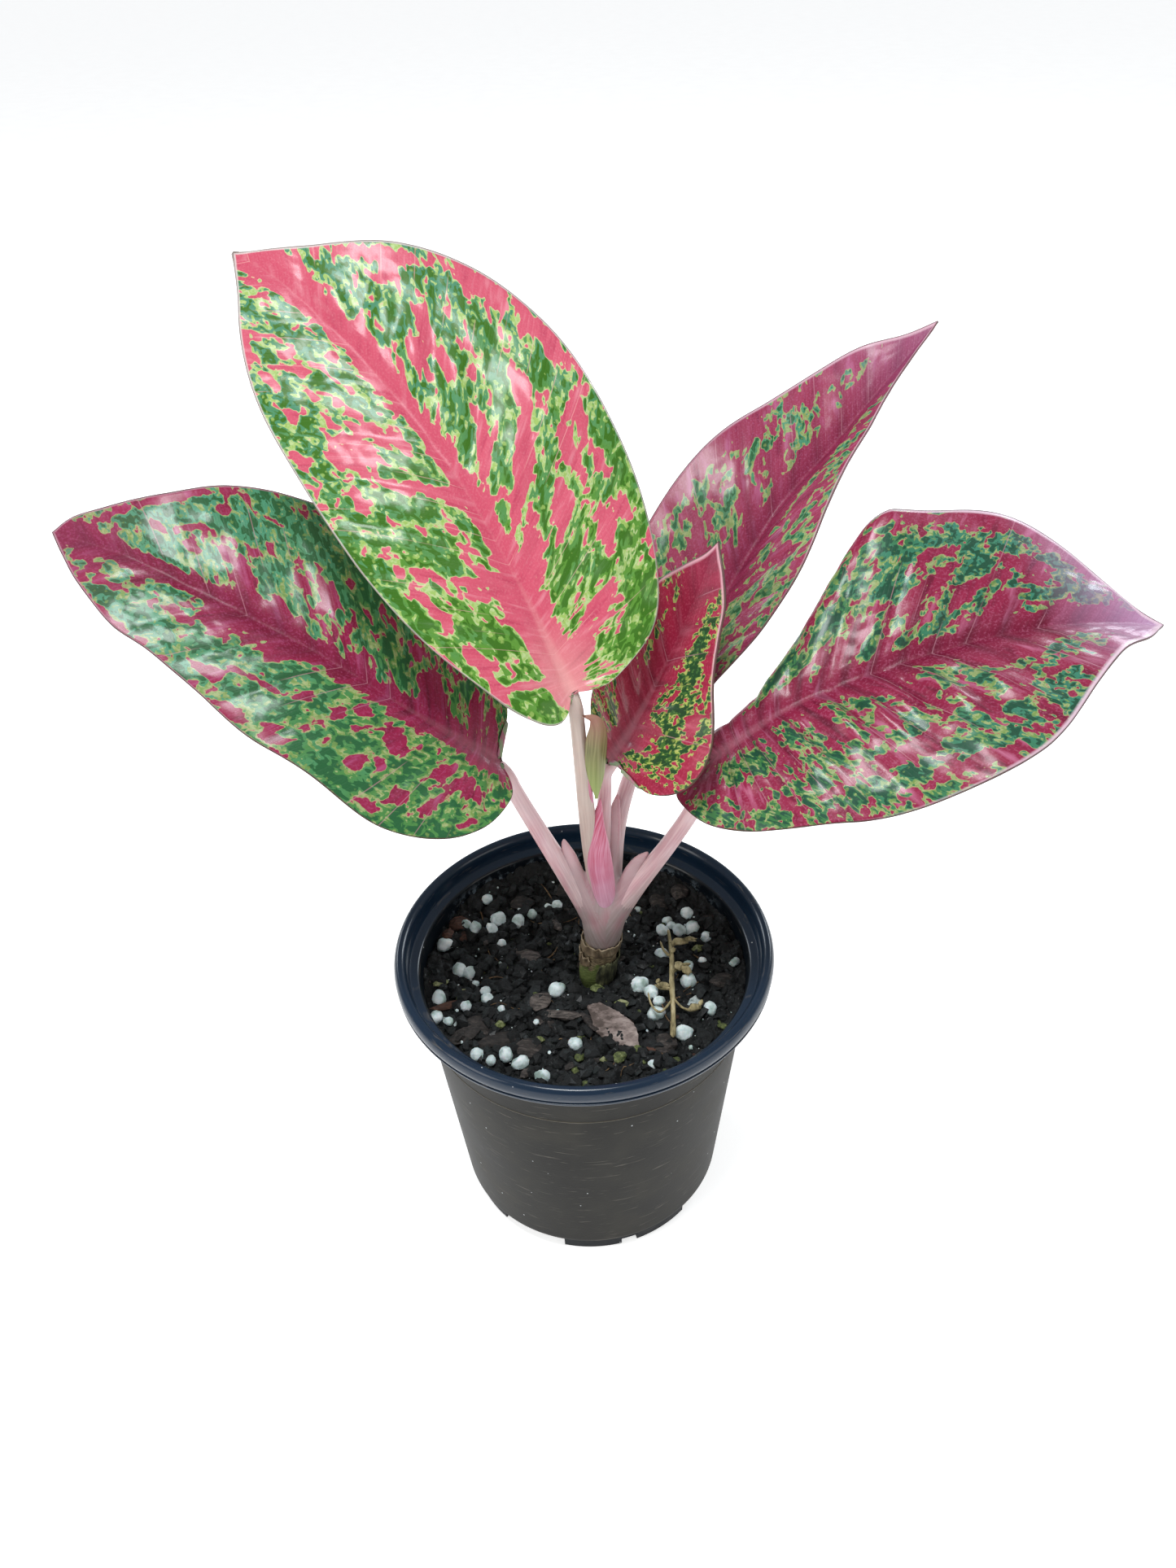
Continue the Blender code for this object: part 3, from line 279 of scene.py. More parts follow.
LEAVES = {
    "top": Leaf(
        stalk=((5.8, 0.5, 101, 3.3), (4.6, 0.2, 116, 2.9), (3.1, -0.4, 129, 2.4),
               (2.2, -1.2, 143, 2.2), (1.3, -2.4, 160, 1.9), (0.8, -3.2, 171, 1.85),
               (0.3, -4.2, 177, 1.9)),
        midrib=((0, -5, 181), (-10, 6, 201), (-22, 19, 220), (-35, 33, 235), (-51, 47, 249),
                (-68, 60, 261), (-80, 68, 266)),
        face_roll=(-22, -34),
        left_fold=(12, 10, 4), right_fold=(10, 8, 4), left_curl=(5, 6, 4), right_curl=(6, 6, 4),
        left_margin=((0, 0), (-4.5, 4), (-5, 8), (-2, 12), (5, 17), (24, 26), (45, 31), (66, 32),
                     (87, 30), (104, 26), (118, 19), (131, 9), (140.4, 0)),
        right_margin=((0, 0), (-1.5, 5), (-1, 12), (6, 25), (20, 33), (39, 39), (59, 41), (78, 41),
                      (96, 37.5), (112, 27), (126, 11), (134, 4), (140.4, 0)),
        wave=(1.2, 2.4, 0.6),
        quilt=0.7,
        feather=(3.8, 2.0, 2.2),
        level=(0.085, 0.055),
        streaks=((0.25, 0.15), (0.9, 0.25)),
        fan=((0.15, 0.0), (0.7, 0.0)),
        red=(
            (22, -4.5, 12, 3.5, -8), (31, -10, 4, 2.3, -30), (35, -12, 8, 1.1, -58),
            (17, -18, 4.5, 2.2, -10), (8, -16, 4, 1.4, -20), (6, -9, 6, 1.3, -72),
            (11, -4, 4, 3, -20), (34, -22, 3.5, 1.5, 0), (28, -20, 3, 1.4, -10),
            (41, -19, 3.4, 1.8, -30), (48, -8, 3.6, 1.4, -38), (59, -8, 11, 1.8, -48),
            (77, -17, 9, 4.2, -14), (72, -7, 5, 1.8, -20), (78, -11, 7, 1.6, -14),
            (84, -28, 5, 1.3, 4), (95, -22, 3.4, 1.2, 0), (103, -13, 4, 1.5, -40),
            (106, -20, 4, 1.1, 0), (118, -18, 11, 1.7, 33), (53, -28.5, 2, 1, 0),
            (64, -23, 5, 1, 6), (20, -25, 5, 1, -24), (45, -24, 3, 1.2, -10), (15, 13, 10, 1.9, 56),
            (18, 19, 3.6, 2.6, 20), (9, 7, 7, 2.2, 50), (34, 7, 9, 2.6, 28), (40, 18, 7, 3, 32),
            (30, 25, 5.5, 2.4, 30), (53, 15, 13, 2.3, 38), (66, 24, 5, 2.6, 30), (57, 33, 6, 2, 12),
            (45, 32, 3.6, 1.8, 10), (33, 32, 3.4, 2, 40), (74, 38, 10, 2.2, 4),
            (92, 35, 12, 2.8, -8), (112, 22, 10, 2.2, -42), (62, 10, 14, 1.4, 26),
            (86, 10, 5, 2.2, 30), (91, 16, 6, 1.3, 22), (100, 3, 16, 3, 4), (106, 20, 4, 1.3, 20),
            (82, 14, 5, 1.5, 10), (24, 34, 4, 1.4, 24), (50, 26, 7, 2, 24), (128, 2, 12, 5, 0),
        ),
        green=(
            (18, -9, 7, 4.5, -25), (43, -12, 4.5, 2.6, 60), (46, -18, 5, 3.4, -20),
            (45, -4, 5, 1.6, -25), (63, -7, 4.5, 3.2, -35), (67, -12, 3, 2.2, 0),
            (56, -13, 5, 2.6, -30), (55, -29, 12, 2.6, 0), (30, -25, 8, 2.4, -14),
            (1, -9, 5, 5.5, 60), (110, -8, 11, 1.7, -4), (88, -3.6, 4, 1.7, -20),
            (95, -11, 6, 2.6, -10), (98, -25, 12, 1.8, 12), (24, -16, 6, 3, -20),
            (88, -22, 5, 2, 0), (26, 11, 10, 2.6, 46), (22, 20, 6, 3.6, 50), (6, 20, 8, 3.6, 62),
            (14, 25, 7, 4, 40), (27, 29, 7, 3, 36), (42, 36.5, 13, 2.2, 12), (40, 13, 7, 2, 42),
            (54, 8, 4.5, 1.7, 48), (65, 7, 6, 2.4, 42), (77, 10, 4.5, 1, 30), (60, 16, 6, 1.8, 34),
            (69, 21, 13, 2.6, 18), (83, 26, 10, 3, 10), (66, 32, 8, 2.8, 10), (50, 37, 6, 2.4, 8),
            (98, 12, 9, 3, 36), (108, 6, 5, 2.4, 30), (86, 19, 13, 1.5, 22), (117, 10, 7, 1.6, -16),
            (83, 5, 3.4, 1.2, 20), (46, 23, 4.5, 1.8, 16), (73, 15, 4, 1.5, 20), (36, 36, 6, 2, 24),
            (102, 22, 5, 2, -10),
        ),
        puckers=(
            (52, 12, 9, 3.6, 44, 1.3), (88, 10, 9, 3.4, 34, 1.3), (100, 10, 8, 3, 36, 1.0),
            (94, 3, 7, 2.2, 10, 0.6), (30, 14, 10, 3, 46, -0.8), (112, 5, 8, 3, 14, 0.8),
            (62, 26, 9, 4, 20, 0.9), (20, 20, 7, 3.4, 50, 0.9), (35, -10, 8, 3, -52, 0.6),
            (68, 12, 12, 2.4, 36, -1.0), (78, 14, 10, 2.6, 30, 0.8),
        ),
    ),
    "left": Leaf(
        stalk=((4.4, 0, 100, 3.6), (0.6, 0, 109, 3.2), (-4.5, 0, 120.5, 2.7),
               (-11.4, 0, 136.6, 2.3), (-16, 0.2, 147.5, 2.2), (-18.2, 0.2, 153.5, 2.1)),
        midrib=((-19, 0, 158), (-40, 3, 172), (-61, 8, 186), (-84, 14, 198), (-107, 21, 208),
                (-127, 28, 212)),
        face_roll=(-24, -30),
        left_fold=(8, 8, 6), right_fold=(10, 12, 8), left_curl=(6, 6, 4), right_curl=(6, 6, 6),
        left_margin=((0, 0), (-5, 5), (-6, 10), (-3, 19), (5, 26.5), (20, 31), (38, 29), (56, 28),
                     (72, 23.5), (86, 20), (98, 18), (111, 11.5), (119, 5.5), (125.4, 0)),
        right_margin=((0, 0), (2.5, 3.5), (3, 8), (4, 13), (10, 23), (24, 32), (44, 38),
                      (62, 39), (80, 36), (93, 29), (104, 19), (115, 10.5), (122, 5.5), (125.4, 0)),
        wave=(1.6, 2.2, 2.4),
        feather=(3.2, 3.2, 2.2),
        level=(0.1, 0.085),
        streaks=((0.2, 0.0), (1.2, 0.3)),
        fan=((0.6, 0.0), (1.0, 0.3)),
        red=(
            (5, -12, 3.6, 2.8, 0), (12.5, -12, 3.6, 1.8, -72), (26, -10, 4.6, 2.4, 52),
            (19, -22, 2.2, 2, 0), (31, -21, 2.6, 2.3, 30), (12, -21, 4, 1.3, -52),
            (24, -28, 3, 1.2, 0), (41, -12, 2.8, 1.8, -50), (49, -12, 2.4, 1.4, -50),
            (61, -14.5, 8, 0.9, 2), (50, -25.5, 2.4, 1, 0), (64, -24, 7, 1.8, 14),
            (73, -18, 4, 1.4, 12), (104, -9, 3.4, 1, 0), (98, -5.5, 2, 1, 0),
            (74, -4, 13, 3.6, -14), (60, -5, 6, 2.6, -22), (3, -3, 5, 2.6, -10),
            (117, -9, 10, 2, 40), (100, -17, 9, 1.8, 16), (26, -17.5, 1.6, 1.2, 0),
            (36, -7, 1.6, 1.6, 0), (2, -21, 4, 1, -50), (35, -13, 1.6, 1.2, 0), (6, 7, 6, 1.3, 66),
            (11, 8, 6, 2, 64), (23, 6.5, 9, 3.2, 48), (32.5, 14, 3.4, 1.4, 30), (49, 9, 4, 1.8, 62),
            (57.5, 13, 4.4, 2.3, 62), (65, 14.5, 3.4, 1.3, 30), (76, 7, 7, 2.4, 46),
            (84, 11.5, 2.8, 1.4, 40), (93, 9, 3, 1.1, 0), (94, 14, 2.6, 1.3, -30),
            (103, 10.5, 2, 1, 0), (80, 26, 4.4, 0.8, 0), (90, 21.5, 2, 1.6, 0),
            (105, 16, 15, 1.2, -42), (66, 5, 4, 2, 46), (44, 17, 5, 1.2, 34), (78, 15.5, 1.6, 1, 0),
            (118, 2, 8, 3, 0), (54, 20, 2, 1.4, 0), (30, 22, 3, 1.5, 30), (46, 30, 4, 1.4, 20),
            (20, 20, 4, 1.8, 50),
        ),
        green=(
            (55, -8, 11, 2.2, -6), (35, -15, 5, 3, -20), (75, -13, 9, 2.4, 6),
            (92, -13, 12, 3.4, 8), (20, -15, 5, 3, -40), (9, -26, 9, 2.6, -24),
            (35, -25, 9, 2.6, 2), (100, 4, 10, 1.6, 2), (88, -3.5, 5, 1.2, -8),
            (45, -8, 4, 1.8, -30), (38, 10, 7, 2.2, 40), (16, 12, 4, 1.2, 60), (55, 22, 14, 4, 24),
            (70, 27, 12, 4, 6), (85, 20, 9, 3, -20), (73, 12, 5, 1.8, 46), (100, 13, 6, 1.8, -24),
            (98, 7, 6, 1.4, -6), (33, 28, 12, 4, 20), (52, -17, 6, 1.6, 0),
        ),
        puckers=((80, 12, 8, 3.5, 50, 0.7), (52, 8, 8, 3, 54, 0.6), (66, 10, 8, 2.6, 50, -0.5),
                 (90, 20, 8, 5, -20, 0.8), (30, -12, 9, 4, -50, 0.6), (15, -15, 8, 4, -60, 0.6)),
    ),
    "right": Leaf(
        stalk=((7.8, 0, 100, 3.4), (12.2, 0, 108.5, 3.1), (16.8, -0.6, 117, 2.7),
               (24.5, -1, 130, 2.3), (30.4, -1.6, 142, 2.2), (33, -2.2, 152, 2.1)),
        midrib=((34, -2, 158), (54, 2, 170), (80, 7, 178), (106, 13, 182), (133, 20, 181),
                (156, 26, 176)),
        face_roll=(18, 2),
        left_fold=(8, 34, 16), right_fold=(6, 4, 8), left_curl=(7, 2, 3), right_curl=(7, 5, 3),
        left_margin=((0, 0), (-6, 5), (-6, 14), (2, 24), (18, 31), (38, 36.5), (56, 38.5),
                     (72, 39.5), (86, 38.5), (99, 33), (111, 24), (119, 14), (125, 5), (130.7, 0)),
        right_margin=((0, 0), (-6, 1.5), (-11, 2.5), (-12, 7), (-8, 17), (5, 27.5), (20, 34.5),
                      (40, 38.5), (56, 40.5), (68, 38.5), (80, 33), (94, 23), (108, 13.5), (120, 8),
                      (130.7, 0)),
        wave=(1.8, 2.6, 0.4),
        droop=(("left", 2, 19, 38, 6, 95),),
        quilt=0.7,
        feather=(3.0, 3.0, 3.5),
        level=(0.025, -0.02),
        streaks=((0.7, 0.1), (1.2, -0.25)),
        fan=((0.3, 0.0), (1.0, 0.0)),
        red=(
            (20, -3, 20, 2.4, -6), (31, -6, 10, 1.8, -28), (44, -8, 5.6, 2.2, -36),
            (51, -5, 6, 1.4, -30), (60, -13, 4.6, 1.8, -20), (74, -11.5, 7, 1.8, -26),
            (70, -18, 7, 2, -30), (77, -14.5, 4.4, 1.4, -10), (86, -16.5, 3.6, 1.5, 0),
            (96, -18.5, 7, 2.6, 8), (97, -14, 4.4, 0.9, 0), (109, -22, 15, 2.8, 40),
            (94, -33, 13, 2.8, 18), (75, -36.5, 14, 1.8, 4), (56, -33, 3, 1.2, 0),
            (65, -22, 3.6, 1.5, -20), (73, -26, 5, 1.4, -8), (81, -7, 6, 1.8, -44),
            (86, -8, 4.6, 2.6, -30), (93, -6.5, 2, 1.2, 0), (78, 5, 14, 5.5, 12), (50, 8, 7, 3, 74),
            (29, 7.5, 6, 2.4, 72), (45, 5, 7, 3, 10), (43, 15, 4, 2, 74), (47, 25, 3.4, 2.7, 0),
            (39, 25, 3.4, 1.4, 24), (22, 27, 3.4, 1, 0), (3, 16, 5.6, 2.4, 72),
            (12, 17, 5.6, 1.7, 24), (-3, 6, 2.8, 1.8, 0), (65, 20, 5.6, 2.4, 84),
            (75, 16, 3.6, 2.4, 0), (89, 15.5, 6, 1.3, -12), (116, 2, 15, 5, 0),
            (104, 13, 15, 1.9, -32), (17, 12, 5, 2, 70), (55, 13, 5, 1.6, 76),
            (-1, 10, 1.6, 1.6, 0), (31, 14, 3, 1.6, 30), (100, -3, 26, 2.4, 0),
            (10, 23.5, 2, 1.6, 0), (52, 31, 3, 1.1, 0), (60, 35, 8, 1.6, 4), (-4, 13, 4, 1.2, 60),
            (10, -8, 10, 2.4, -20), (20, -20, 10, 3, -20), (40, -30, 10, 3, -10),
        ),
        green=(
            (34, 10.5, 5.4, 1.8, 76), (40, 9.5, 6, 1.5, 62), (59, 8.5, 7, 1.6, 66),
            (21, 8, 5, 2, 10), (3, 7.5, 4.4, 3.6, 60), (10, 9, 4.6, 4, 60), (-6, 13, 6, 3.6, 60),
            (19, 22, 7, 3.4, 36), (30, 19, 7, 2.6, 8), (50, 20, 8, 1.8, -16),
            (68, 13.5, 3.6, 2.3, 40), (81, 11, 5, 1.7, -10), (89, 9, 9, 2, -12),
            (101, 7, 7, 1.3, -16), (72, 25, 6, 2.4, -10), (56, 30, 9, 2.4, 0),
            (33, 30.5, 14, 2.2, 6), (60, 23, 4, 2, 60), (86, 22, 7, 1.7, -24), (6, 24, 7, 2.4, 40),
            (57, -4.5, 3.6, 1.9, 0), (48, -7, 4.4, 1.9, -50), (33, -6, 5, 1.3, -52),
            (40, -15, 16, 2.3, -34), (60, -20, 7, 3.4, -30), (80, -19, 5, 3.2, -20),
            (68, -8.5, 7, 1.5, -34), (92, -5, 4.6, 1.3, 0), (97, -9, 8, 1.6, 0),
            (109, -10, 6, 4, 20), (76, -28, 12, 2.4, -4), (93, -25, 7, 3, 0), (104, -19, 4, 2, 0),
            (60, -30, 7, 1.8, -10), (80, -12, 12, 1, -22), (25, -10, 10, 2, -34),
        ),
        puckers=(
            (33, 11, 8, 2.6, 74, 1.8), (26, 12, 9, 2, 74, -1.7), (42, 12, 9, 2.4, 70, 1.5),
            (38, 10, 8, 1.6, 70, -1.3), (53, 10, 8, 2.2, 72, -1.8), (59, 13, 10, 2.6, 68, 1.8),
            (47, 10, 8, 2.4, 72, 1.1), (66, 14, 9, 2.2, 66, -1.2), (16, 12, 9, 2.2, 80, -1.5),
            (8, 12, 8, 4, 70, 0.9), (108, -9, 7, 5, 0, 0.9), (74, 18, 9, 3, 50, 0.8),
            (48, -7, 9, 2.2, -44, 0.6),
        ),
    ),
    "back": Leaf(
        stalk=((7, 1.6, 105, 3.0), (8.6, 4, 114, 2.8), (10.2, 8, 127, 2.5), (13, 11, 138, 2.2),
               (17, 14, 149, 2.1), (20.6, 16.4, 158, 2.0)),
        midrib=((23, 18, 164), (41, 34, 186), (56, 48, 203), (71, 62, 213), (87, 76, 225),
                (103, 88, 238)),
        face_roll=(22, 16),
        left_fold=(22, 16, 10), right_fold=(38, 42, 32), left_curl=(4, 4, 3), right_curl=(5, 5, 4),
        left_margin=((0, 0), (-4, 5), (-2, 13), (8, 21), (24, 26), (44, 27.5), (62, 26),
                     (80, 22.3), (99, 17), (112, 12), (122, 4.5), (130.4, 0)),
        right_margin=((0, 0), (-2, 5), (2, 12), (12, 15.5), (25, 19.5), (40, 21), (50, 20.2),
                      (62, 17), (77, 11.5), (90, 8.5), (104, 4.5), (116, 2), (124, 1), (130.4, 0)),
        wave=(1.0, 2.0, 0.0),
        quilt=0.35,
        feather=(4.0, 3.0, 2.0),
        level=(-0.035, -0.025),
        streaks=((0.5, 0.35), (0.15, 0.1)),
        fan=((0.2, 0.0), (0.2, 0.0)),
        red=(
            (60, 0, 30, 2.4, 0), (48, 4, 5, 1.5, 60), (85, -3, 24, 2, -4), (60, -24, 20, 2.2, 6),
            (100, -13, 18, 2.4, 16), (56, -8, 6, 2, -40), (70, -9, 6, 2, -30), (70, -19, 5, 2, 0),
            (28, 12, 4, 1.8, 20), (46, 12, 2.6, 1.6, 0), (62, 8, 7, 1.6, -10),
            (110, -4, 14, 2.4, 0), (92, -7, 6, 1.6, -20), (42, -14, 4, 1.8, -30),
            (36, -8, 5, 2.4, -30),
        ),
        green=(
            (54, -12, 3.4, 1.7, -10), (47, -7, 4.6, 1.9, -58), (51, -19, 4.4, 1.5, -50),
            (38, -18, 4.6, 1.5, -22), (66, -14, 6.6, 1, -24), (76, -13.5, 7.4, 1.2, -14),
            (85, -11, 6.4, 0.9, -42), (79, -7, 5.4, 1.2, -8), (91, -15, 4.6, 1, -14),
            (103, -7, 3, 1.5, 0), (105, -10, 5, 0.8, 0), (83, -18, 5, 0.8, 0),
            (43, -10, 3.6, 1.2, -20), (59, -4, 3.6, 0.8, -20), (33, -20, 4, 1.4, -20),
            (45, -3, 3, 0.8, -30), (33, 9, 6, 1.4, 30), (36, 14, 7, 1.6, 20), (55, 11, 6, 1.6, 10),
            (67, 4.5, 5, 1, 0), (80, 4, 8, 0.9, -10), (96, 2, 10, 0.7, -6), (46, 5, 5, 1.2, 14),
            (24, 10, 5, 2, 30), (44, 16, 5, 1, 10),
        ),
        puckers=((60, -12, 12, 4, -30, 0.5), (80, -10, 12, 3, -24, 0.4), (45, 8, 9, 3, 40, 0.4)),
    ),
    "young": Leaf(
        stalk=((6.8, 2.4, 106, 2.8), (6.6, 4.4, 119, 2.4), (6.8, 5, 133, 2.0), (7.3, 4.6, 144, 1.8),
               (7.6, 3.6, 150, 1.7)),
        midrib=((8, 3, 154), (15, 6, 164), (22, 10, 176), (30, 14, 193), (36, 16, 209)),
        face_roll=(14, 10),
        left_fold=(20, 16, 10), right_fold=(14, 10, 6), left_curl=(3, 4, 4), right_curl=(7, 7, 5),
        left_margin=((0, 0), (2, 4), (7, 11), (14, 15), (26, 17), (38, 16), (47, 12.5), (54, 7),
                     (59, 2.5), (63.5, 0)),
        right_margin=((0, 0), (2.5, 3.5), (2.5, 9), (3, 18), (9, 25.5), (16, 27), (25, 23.5),
                      (34, 18), (44, 14), (52, 11.3), (58, 6.5), (63.5, 0)),
        wave=(0.8, 1.6, 1.0),
        rib_radius=1.5,
        quilt=0.3,
        feather=(3.0, 4.0, 5.0),
        level=(-0.02, 0.03),
        streaks=((1.2, 0.3), (1.0, -0.2)),
        fan=((0.6, 0.0), (1.0, 0.2)),
        red=(
            (30, -1, 40, 2.6, 0), (10, 6, 4.4, 1.8, 70), (14, 7, 5, 1.6, 74), (26, 9, 2.4, 1, 30),
            (20, 19, 7, 1.6, -20), (36, 15, 8, 1, -20), (22, -8, 8, 2.2, -20), (56, 0, 9, 6, 0),
            (4, 14, 7, 1.2, 70), (12, 23, 7, 1.6, 10), (40, -9, 6, 1.8, 0),
        ),
        green=(
            (31, 10.5, 9, 2.4, -8), (17, 14, 6, 2.4, 30), (23, 12.5, 5, 2, 20),
            (42, 9, 7, 1.6, -14), (8, 10, 5.4, 1, 66), (12, 16, 5, 1.8, 50),
            (12, -6, 4.4, 1.6, -44), (48, -5, 4.6, 1.2, 20), (30, -5, 3, 1, -20),
            (10, 2.5, 3, 0.8, 20), (7, -9, 3, 1.4, -50), (40, -13, 5, 1.2, 10), (51, 5, 3, 0.9, 0),
            (16, 20, 5, 1.4, 0), (24, 6, 4, 0.9, 40),
        ),
        puckers=((12, 8, 7, 3, 70, -0.9), (20, 13, 8, 5, 40, 0.8), (30, -6, 8, 4, -30, 0.4)),
    ),
}

# The green hood is a small pointed sheath leaf, keel outwards, with both halves rolled back
HOOD = Leaf(
    stalk=(),
    midrib=((4.9, -2.4, 147), (5.0, -3.3, 152.5), (5.2, -4.7, 159.5), (5.7, -6, 166.5),
            (6.0, -6.8, 171.5), (5.0, -7.2, 174.8), (2.8, -7.6, 176)),
    face_roll=(0, 0),
    left_fold=(20, 22, 20), right_fold=(20, 20, 20),
    left_curl=(-90, -100, -90), right_curl=(-90, -100, -90),
    left_margin=((0, 0), (2.5, 0.8), (7, 2.3), (13, 3.3), (19, 3.0), (25, 1.8), (31.8, 0)),
    right_margin=((0, 0), (2.5, 0.7), (7, 2.0), (13, 2.8), (20, 3.0), (26, 2.0), (31.8, 0)),
    facing=(-0.2, 0.97, 0),
    quilt=0.0,
)

# The dry flower stem with its side twigs, as (x, y, z, half width, half depth)
TWIGS = (
    ((25.4, 12, 85.0, 0.4, 0.4), (25.6, 6, 84.8, 0.6, 0.5), (25.6, 0, 84.2, 0.7, 0.6),
     (24.9, -9, 83.8, 0.8, 0.7), (24.6, -18, 83.4, 0.7, 0.7), (23.8, -28, 82.6, 0.8, 0.7)),
    ((25.6, 5, 84.8, 0.4, 0.4), (28, 5.6, 85.6, 0.7, 0.3), (31, 6.4, 86, 0.9, 0.25),
     (33.5, 5.6, 85.8, 0.2, 0.2)),
    ((25.5, 1, 84.3, 0.5, 0.4), (23.4, 3.2, 85.2, 0.4, 0.3), (22.6, 6.2, 86, 0.3, 0.2)),
    ((25.1, -5, 84.0, 0.5, 0.4), (27.6, -3.4, 84.8, 1.0, 0.3), (31, -2.6, 85, 0.5, 0.25)),
    ((24.8, -11, 83.7, 0.5, 0.4), (21.5, -11, 84.4, 0.7, 0.3), (19.8, -10, 84.8, 0.2, 0.2)),
    ((24.6, -15, 83.5, 0.4, 0.35), (21, -19.4, 83.6, 0.35, 0.3), (18.6, -17.5, 84.4, 0.3, 0.25),
     (17.8, -13, 85, 0.25, 0.2)),
    ((24.7, -14, 83.6, 0.4, 0.3), (27.2, -18.5, 84, 0.4, 0.3), (30.4, -20, 84.6, 0.6, 0.3),
     (32.4, -18, 85, 0.2, 0.2)),
)
# Crumpled scraps on the dry stem, as (x, y, z, length, width, height, turn, tilt)
SCRAPS = (
    (28.5, 5.6, 86, 5, 1.8, 0.8, 8, 20), (31.5, 6.4, 86.3, 3.6, 1.6, 0.6, -20, -15),
    (27.6, -3.6, 85.4, 4, 2.6, 1.2, 40, 30), (29.4, -5, 85.2, 3.4, 2.2, 1.0, -30, 20),
    (22.4, -10.6, 85, 4, 1.8, 0.8, 10, 25), (21, -9.4, 85.6, 2.4, 1.4, 0.7, 60, 30),
    (30.6, -19.6, 85.2, 3.6, 1.8, 0.8, 20, 30), (32.2, -18.2, 85.4, 2.4, 1.4, 0.6, 60, -20),
    (26, 3, 85.2, 2.4, 1.4, 0.8, 70, 0),
)
# The large bark flake's outline, flat, round its own middle
FLAKE_OUTLINE = (
    (-6.8, 6.5), (-3.5, 7.5), (1.5, 4.5), (5.5, 1), (6.8, -2.5), (6.4, -7), (2.6, -7), (0, -5.5),
    (-5, -1),
)
FLAKE_PLACE = (7.6, -23.5, 82.4)
FLAKE_TILT = (27, -4, 0)


def unit(vectors):
    """The vectors, each made one long."""
    return vectors / np.linalg.norm(vectors, axis=-1, keepdims=True)


class Track:
    """A smooth curve through a few points, read by distance along it."""

    def __init__(self, points, steps=24):
        p = np.asarray(points, float)
        p = np.vstack([2 * p[0] - p[1], p, 2 * p[-1] - p[-2]])
        t = np.linspace(0, 1, steps, endpoint=False)[:, None]
        spans = [
            0.5 * (2 * b + (c - a) * t + (2 * a - 5 * b + 4 * c - d) * t**2
                   + (3 * b - 3 * c + d - a) * t**3)
            for a, b, c, d in zip(p, p[1:], p[2:], p[3:])
        ]
        self.curve = np.vstack(spans + [p[-2:-1]])
        strides = np.linalg.norm(np.diff(self.curve[:, :3], axis=0), axis=1)
        self.reach = np.concatenate([[0], np.cumsum(strides)])
        self.length = self.reach[-1]

    def at(self, distance):
        """The points at these distances."""
        return np.stack([np.interp(distance, self.reach, axis) for axis in self.curve.T], axis=-1)

    def heading(self, distance):
        """The curve's direction at these distances."""
        ahead = self.at(np.minimum(distance + 1, self.length))[..., :3]
        behind = self.at(np.maximum(distance - 1, 0))[..., :3]
        return unit(ahead - behind)


def by_thirds(values, share):
    """A triple's value at this share of the blade's length."""
    return np.interp(share, (0, 0.5, 1), values)


def rolled_up(heading, degrees):
    """The upward side of a leaf that points this way, turned about its midrib."""
    up = unit(np.array([0, 0, 1.0]) - heading[2] * heading)
    angle = math.radians(degrees)
    return up * math.cos(angle) + np.cross(heading, up) * math.sin(angle)


def hang(along, across, droop):
    """Where places go when the lobe outside a slanting line bends down, and how far they drop."""
    _, strip, start, angle, radius, sweep = droop
    run = HANG_SOFTNESS * np.log1p(np.exp((along - start) / HANG_SOFTNESS))
    past = np.maximum(across - strip - math.tan(math.radians(angle)) * run, 0)
    turned = np.minimum(past / radius, math.radians(sweep))
    straight = past - turned * radius
    kept = radius * np.sin(turned) + straight * np.cos(turned)
    drop = radius * (1 - np.cos(turned)) + straight * np.sin(turned)
    return across - past + kept, drop


def midrib_frame(leaf, along):
    """Point, heading and upward side of the midrib at these distances from the junction."""
    track = Track(leaf.midrib)
    inside = np.clip(along, 0, track.length)
    heading = track.heading(inside)
    point = track.at(inside) + heading * (along - inside)[..., None]
    share = (inside / track.length)[..., None]
    from_base, from_tip = FACE_INSETS
    base_up = rolled_up(track.heading(from_base), leaf.face_roll[0])
    tip_up = rolled_up(track.heading(track.length - from_tip), leaf.face_roll[1])
    up = np.array(leaf.facing, float) if leaf.facing else base_up * (1 - share) + tip_up * share
    up = unit(up - (up * heading).sum(axis=-1, keepdims=True) * heading)
    return point, heading, up, share[..., 0]


def on_blade(leaf, along, across):
    """Points of the blade's surface, for flat places; across is negative on the left half."""
    left = across < 0
    width = np.abs(across)
    drop = np.zeros_like(width)
    for droop in leaf.droop:
        moved, lowered = hang(along, width, droop)
        hanging = left if droop[0] == "left" else ~left
        width, drop = np.where(hanging, moved, width), np.where(hanging, lowered, drop)
    point, heading, up, share = midrib_frame(leaf, along)
    fold = np.where(left, by_thirds(leaf.left_fold, share), by_thirds(leaf.right_fold, share))
    curl = np.where(left, by_thirds(leaf.left_curl, share), by_thirds(leaf.right_curl, share))
    fold, bend = np.radians(fold), np.radians(curl) / 10
    sideways = (np.sin(fold) - np.sin(fold - bend * width)) / bend
    lift = (np.cos(fold - bend * width) - np.cos(fold)) / bend
    height, count, phase = leaf.wave
    swing = np.sin(2 * math.pi * count * share + phase + WAVE_SHIFT * left)
    lift = lift + height * (width / WAVE_WIDTH) ** 2 * swing
    side = np.cross(heading, up) * np.where(left, -1, 1)[..., None]
    return point + side * sideways[..., None] + up * (lift - drop)[..., None]


